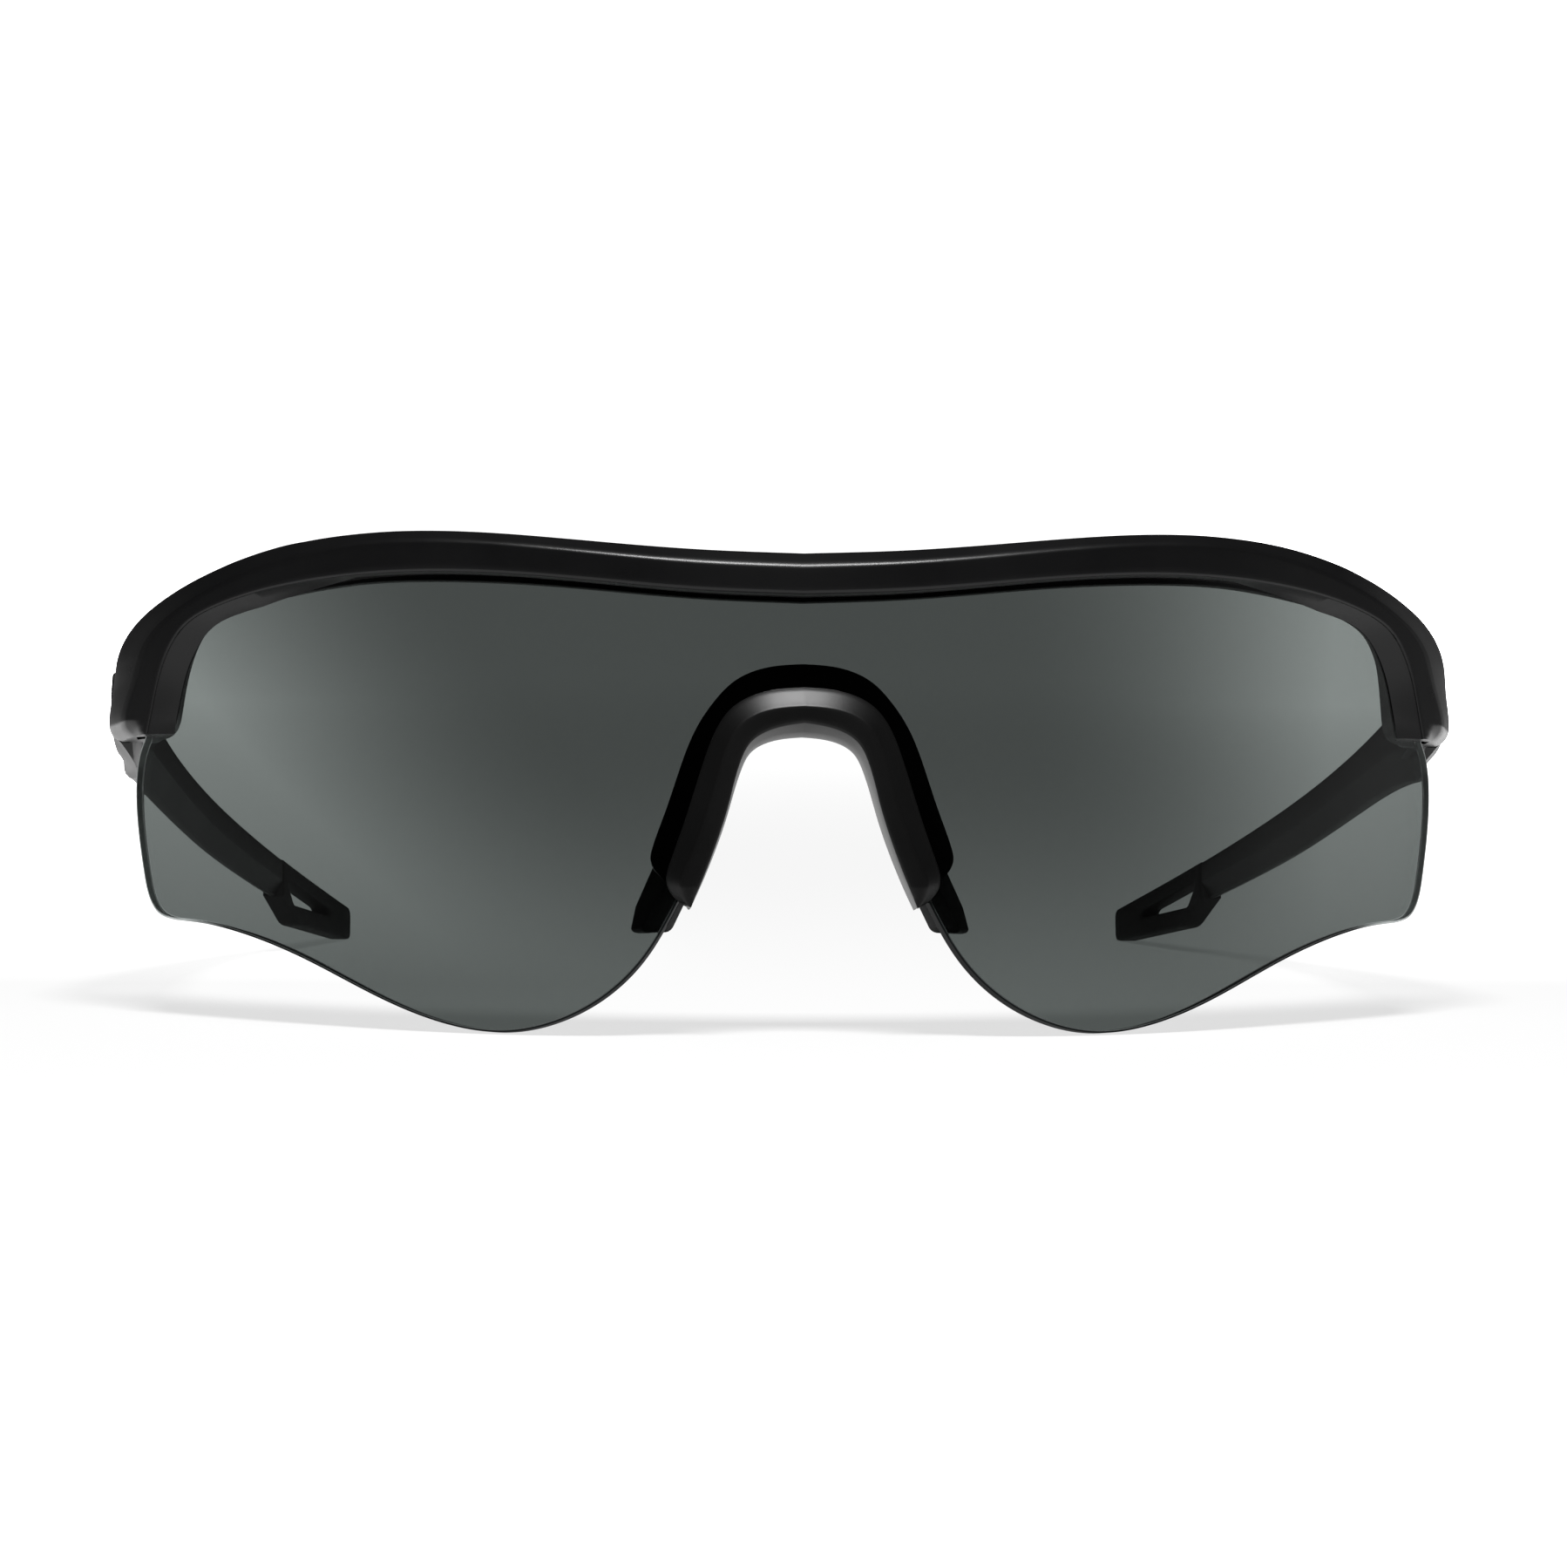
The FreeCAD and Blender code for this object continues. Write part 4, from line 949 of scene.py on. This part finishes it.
def make_tips():
    under = spline(TIP_UNDER, 60)
    outline = np.concatenate([under, even(TIP_END, 16)[1:], [(SLEEVE_START, 0.0)]])
    outline = closed_even(outline, 0.4)
    hole = closed_even(rounded(TIP_HOLE, 0.7), 0.3)

    def to_space(y, z, depth):
        near, far = arm_inner(y) - SLEEVE_SKIN, arm_outer(y) + SLEEVE_SKIN
        return place(np.stack([near + (far - near) * depth, y, z], axis=1), TEMPLE)

    near = [(0, 0.16), (0.05, 0.08), (0.16, 0.025), (0.34, 0.0)]
    far = [(inset, 1 - depth) for inset, depth in near]
    verts, faces = plate(outline, [hole], 0.9, near, far, to_space)
    for side, (spots, loops) in {"right": (verts, faces), "left": mirror(verts, faces)}.items():
        new_object("tip_" + side, spots, loops, TIP_RUBBER, "temple_" + side,
                   "temple_tip_" + side)


make_lens()
make_brow()
make_bridge()
make_pads()
make_arms()
make_tips()


# ---------------------------------------------------------------- studio

def math_node(nodes, links, operation, first, second=None):
    """Output of a math node fed by a socket and a socket or a number."""
    node = nodes.new("ShaderNodeMath")
    node.operation = operation
    links.new(first, node.inputs[0])
    if second is not None:
        feed(links, node.inputs[1], second)
    return node.outputs[0]


def looked_at(nodes, links):
    """1 for rays from the eye, straight or on their way back through the lens, otherwise 0."""
    path = nodes.new("ShaderNodeLightPath")
    through = math_node(nodes, links, "MAXIMUM", path.outputs["Is Camera Ray"],
                        path.outputs["Is Transmission Ray"])
    bounced = math_node(nodes, links, "ADD", path.outputs["Diffuse Depth"], path.outputs["Glossy Depth"])
    unbounced = math_node(nodes, links, "LESS_THAN", bounced, 0.5)
    return math_node(nodes, links, "MULTIPLY", through, unbounced)


def shown(nodes, links, value, share):
    """The whole value when looked at, straight or through the lens, and a share of it in reflections."""
    factor = mapped(nodes, links, looked_at(nodes, links), (0.0, 1.0), (share, 1.0))
    return math_node(nodes, links, "MULTIPLY", value, factor)


LAMP_SPOT = (0.0, -0.42, 0.98)
LANE_TURN = 0.038       # dimmer lane on the floor behind the glasses, as slopes seen from under the lamp
LANE_EDGE = 0.045
LANE_OUTER = 0.112
FLANK_GLOW = 1.22       # glow beside the lane, before it is squared
FAR_GAIN = 2.2          # and its gain a metre behind the middle


def make_stage():
    """White floor with no horizon, glowing more on both sides of a lane that runs back from the lamp, and
    glowing less close to the glasses, a painted shade round them.
    """
    mesh = bpy.data.meshes.new("floor")
    side = 12.0
    corners = [(-side, -side, 0), (side, -side, 0), (side, side, 0), (-side, side, 0)]
    mesh.from_pydata(corners, [], [(0, 1, 2, 3)])
    floor = bpy.data.objects.new("floor", mesh)
    bpy.context.scene.collection.objects.link(floor)
    material, nodes, links, shader = node_material("floor_white")
    shader.inputs["Base Color"].default_value = (0.18, 0.18, 0.18, 1)
    shader.inputs["Roughness"].default_value = 0.7
    shader.inputs["Specular IOR Level"].default_value = 0.2
    shader.inputs["Emission Color"].default_value = (1, 1, 1, 1)
    where = nodes.new("ShaderNodeTexCoord").outputs["Object"]
    split = nodes.new("ShaderNodeSeparateXYZ")
    links.new(where, split.inputs["Vector"])
    length = nodes.new("ShaderNodeVectorMath")
    length.operation = "LENGTH"
    links.new(where, length.inputs[0])
    distance = length.outputs["Value"]
    # Painted shade: the glow is lower close to the glasses, standing in for the soft shade round them on
    # the floor.
    near = mapped(nodes, links, distance, (0.10, 1.3), (0.72, 1.2), "SMOOTHSTEP")
    behind = mapped(nodes, links, split.outputs["Y"], (0.0, 1.0), (0.0, 1.0))
    beyond_lamp = math_node(nodes, links, "SUBTRACT", split.outputs["Y"], LAMP_SPOT[1])
    bearing = math_node(nodes, links, "DIVIDE", split.outputs["X"], beyond_lamp)
    from_lane = math_node(nodes, links, "SUBTRACT", bearing, LANE_TURN)
    off_middle = math_node(nodes, links, "ABSOLUTE", from_lane)
    flank = mapped(nodes, links, off_middle, (LANE_EDGE, LANE_OUTER), (0.0, FLANK_GLOW))
    flank_squared = math_node(nodes, links, "POWER", flank, 2.0)
    far_flank = math_node(nodes, links, "MULTIPLY", flank_squared, behind)
    far_flank = math_node(nodes, links, "MULTIPLY", far_flank, FAR_GAIN)
    glow = math_node(nodes, links, "ADD", near, far_flank)
    mirrored = mapped(nodes, links, distance, (0.18, 0.5), (1.15, 0.06), "SMOOTHSTEP")
    links.new(shown(nodes, links, glow, mirrored), shader.inputs["Emission Strength"])
    mesh.materials.append(material)


def ramp_node(nodes, stops):
    """Smooth grey ramp through (position, value) stops, with positions from 0 to 1."""
    node = nodes.new("ShaderNodeValToRGB")
    ramp = node.color_ramp
    ramp.interpolation = "EASE"
    while len(ramp.elements) < len(stops):
        ramp.elements.new(0.5)
    for element, (spot, value) in zip(ramp.elements, stops):
        element.position = spot
        element.color = (value, value, value, 1)
    return node


WORLD_STRENGTH = 1.22


def make_world():
    """White when looked at; in reflections, grey at the sides and behind, dark in front and above."""
    world = bpy.data.worlds.new("studio")
    bpy.context.scene.world = world
    world.use_nodes = True
    nodes, links = world.node_tree.nodes, world.node_tree.links
    back = nodes["Background"]
    where = nodes.new("ShaderNodeTexCoord").outputs["Generated"]
    split = nodes.new("ShaderNodeSeparateXYZ")
    links.new(where, split.inputs["Vector"])
    shift = mapped(nodes, links, split.outputs["Y"], (-1.0, 1.0), (0.0, 1.0))
    depth = ramp_node(nodes, [(0.02, 0.004), (0.2, 0.012), (0.42, 0.085), (0.55, 0.1), (0.75, 0.055),
                              (0.985, 0.1)])
    links.new(shift, depth.inputs["Fac"])
    high = mapped(nodes, links, split.outputs["Z"], (0.2, 0.5), (1.0, 0.08), "SMOOTHSTEP")
    around = math_node(nodes, links, "MULTIPLY", depth.outputs["Color"], high)
    sideways = mapped(nodes, links, split.outputs["X"], (-0.5, 0.8), (0.8, 1.5), "SMOOTHSTEP")
    around = math_node(nodes, links, "MULTIPLY", around, sideways)
    strength = math_node(nodes, links, "MAXIMUM", looked_at(nodes, links), around)
    links.new(math_node(nodes, links, "MULTIPLY", strength, WORLD_STRENGTH), back.inputs["Strength"])
    back.inputs["Color"].default_value = (1, 1, 1, 1)


def area_light(name, spot, aim, size, power):
    data = bpy.data.lights.new(name, "AREA")
    data.shape = "RECTANGLE"
    data.size, data.size_y = size
    data.energy = power
    light = bpy.data.objects.new(name, data)
    bpy.context.scene.collection.objects.link(light)
    light.location = spot
    light.rotation_euler = (Vector(aim) - Vector(spot)).to_track_quat("-Z", "Y").to_euler()


def make_lights():
    area_light("overhead", LAMP_SPOT, (0, -0.07, 0.03), (0.42, 0.26), 18)


CAMERA_SPOT = Vector((-0.0406, -0.7757, 0.0569))
HEADING = math.radians(3.14)
PITCH = math.radians(2.51)
ROLL = math.radians(0.33)


def make_camera():
    data = bpy.data.cameras.new("camera")
    data.sensor_width = 36.0
    data.lens = 157.2
    data.clip_start = 0.01
    camera = bpy.data.objects.new("camera", data)
    bpy.context.scene.collection.objects.link(camera)
    level = math.cos(PITCH)
    ahead = Vector((math.sin(HEADING) * level, math.cos(HEADING) * level, -math.sin(PITCH)))
    right = Vector((math.cos(HEADING), -math.sin(HEADING), 0))
    up = right.cross(ahead)
    rolled_right = right * math.cos(ROLL) + up * math.sin(ROLL)
    rolled_up = up * math.cos(ROLL) - right * math.sin(ROLL)
    turn = Matrix((rolled_right, rolled_up, -ahead)).transposed()
    camera.matrix_world = Matrix.Translation(CAMERA_SPOT) @ turn.to_4x4()
    bpy.context.scene.camera = camera


make_stage()
make_world()
make_lights()
make_camera()
bpy.context.scene.view_settings.view_transform = "Standard"
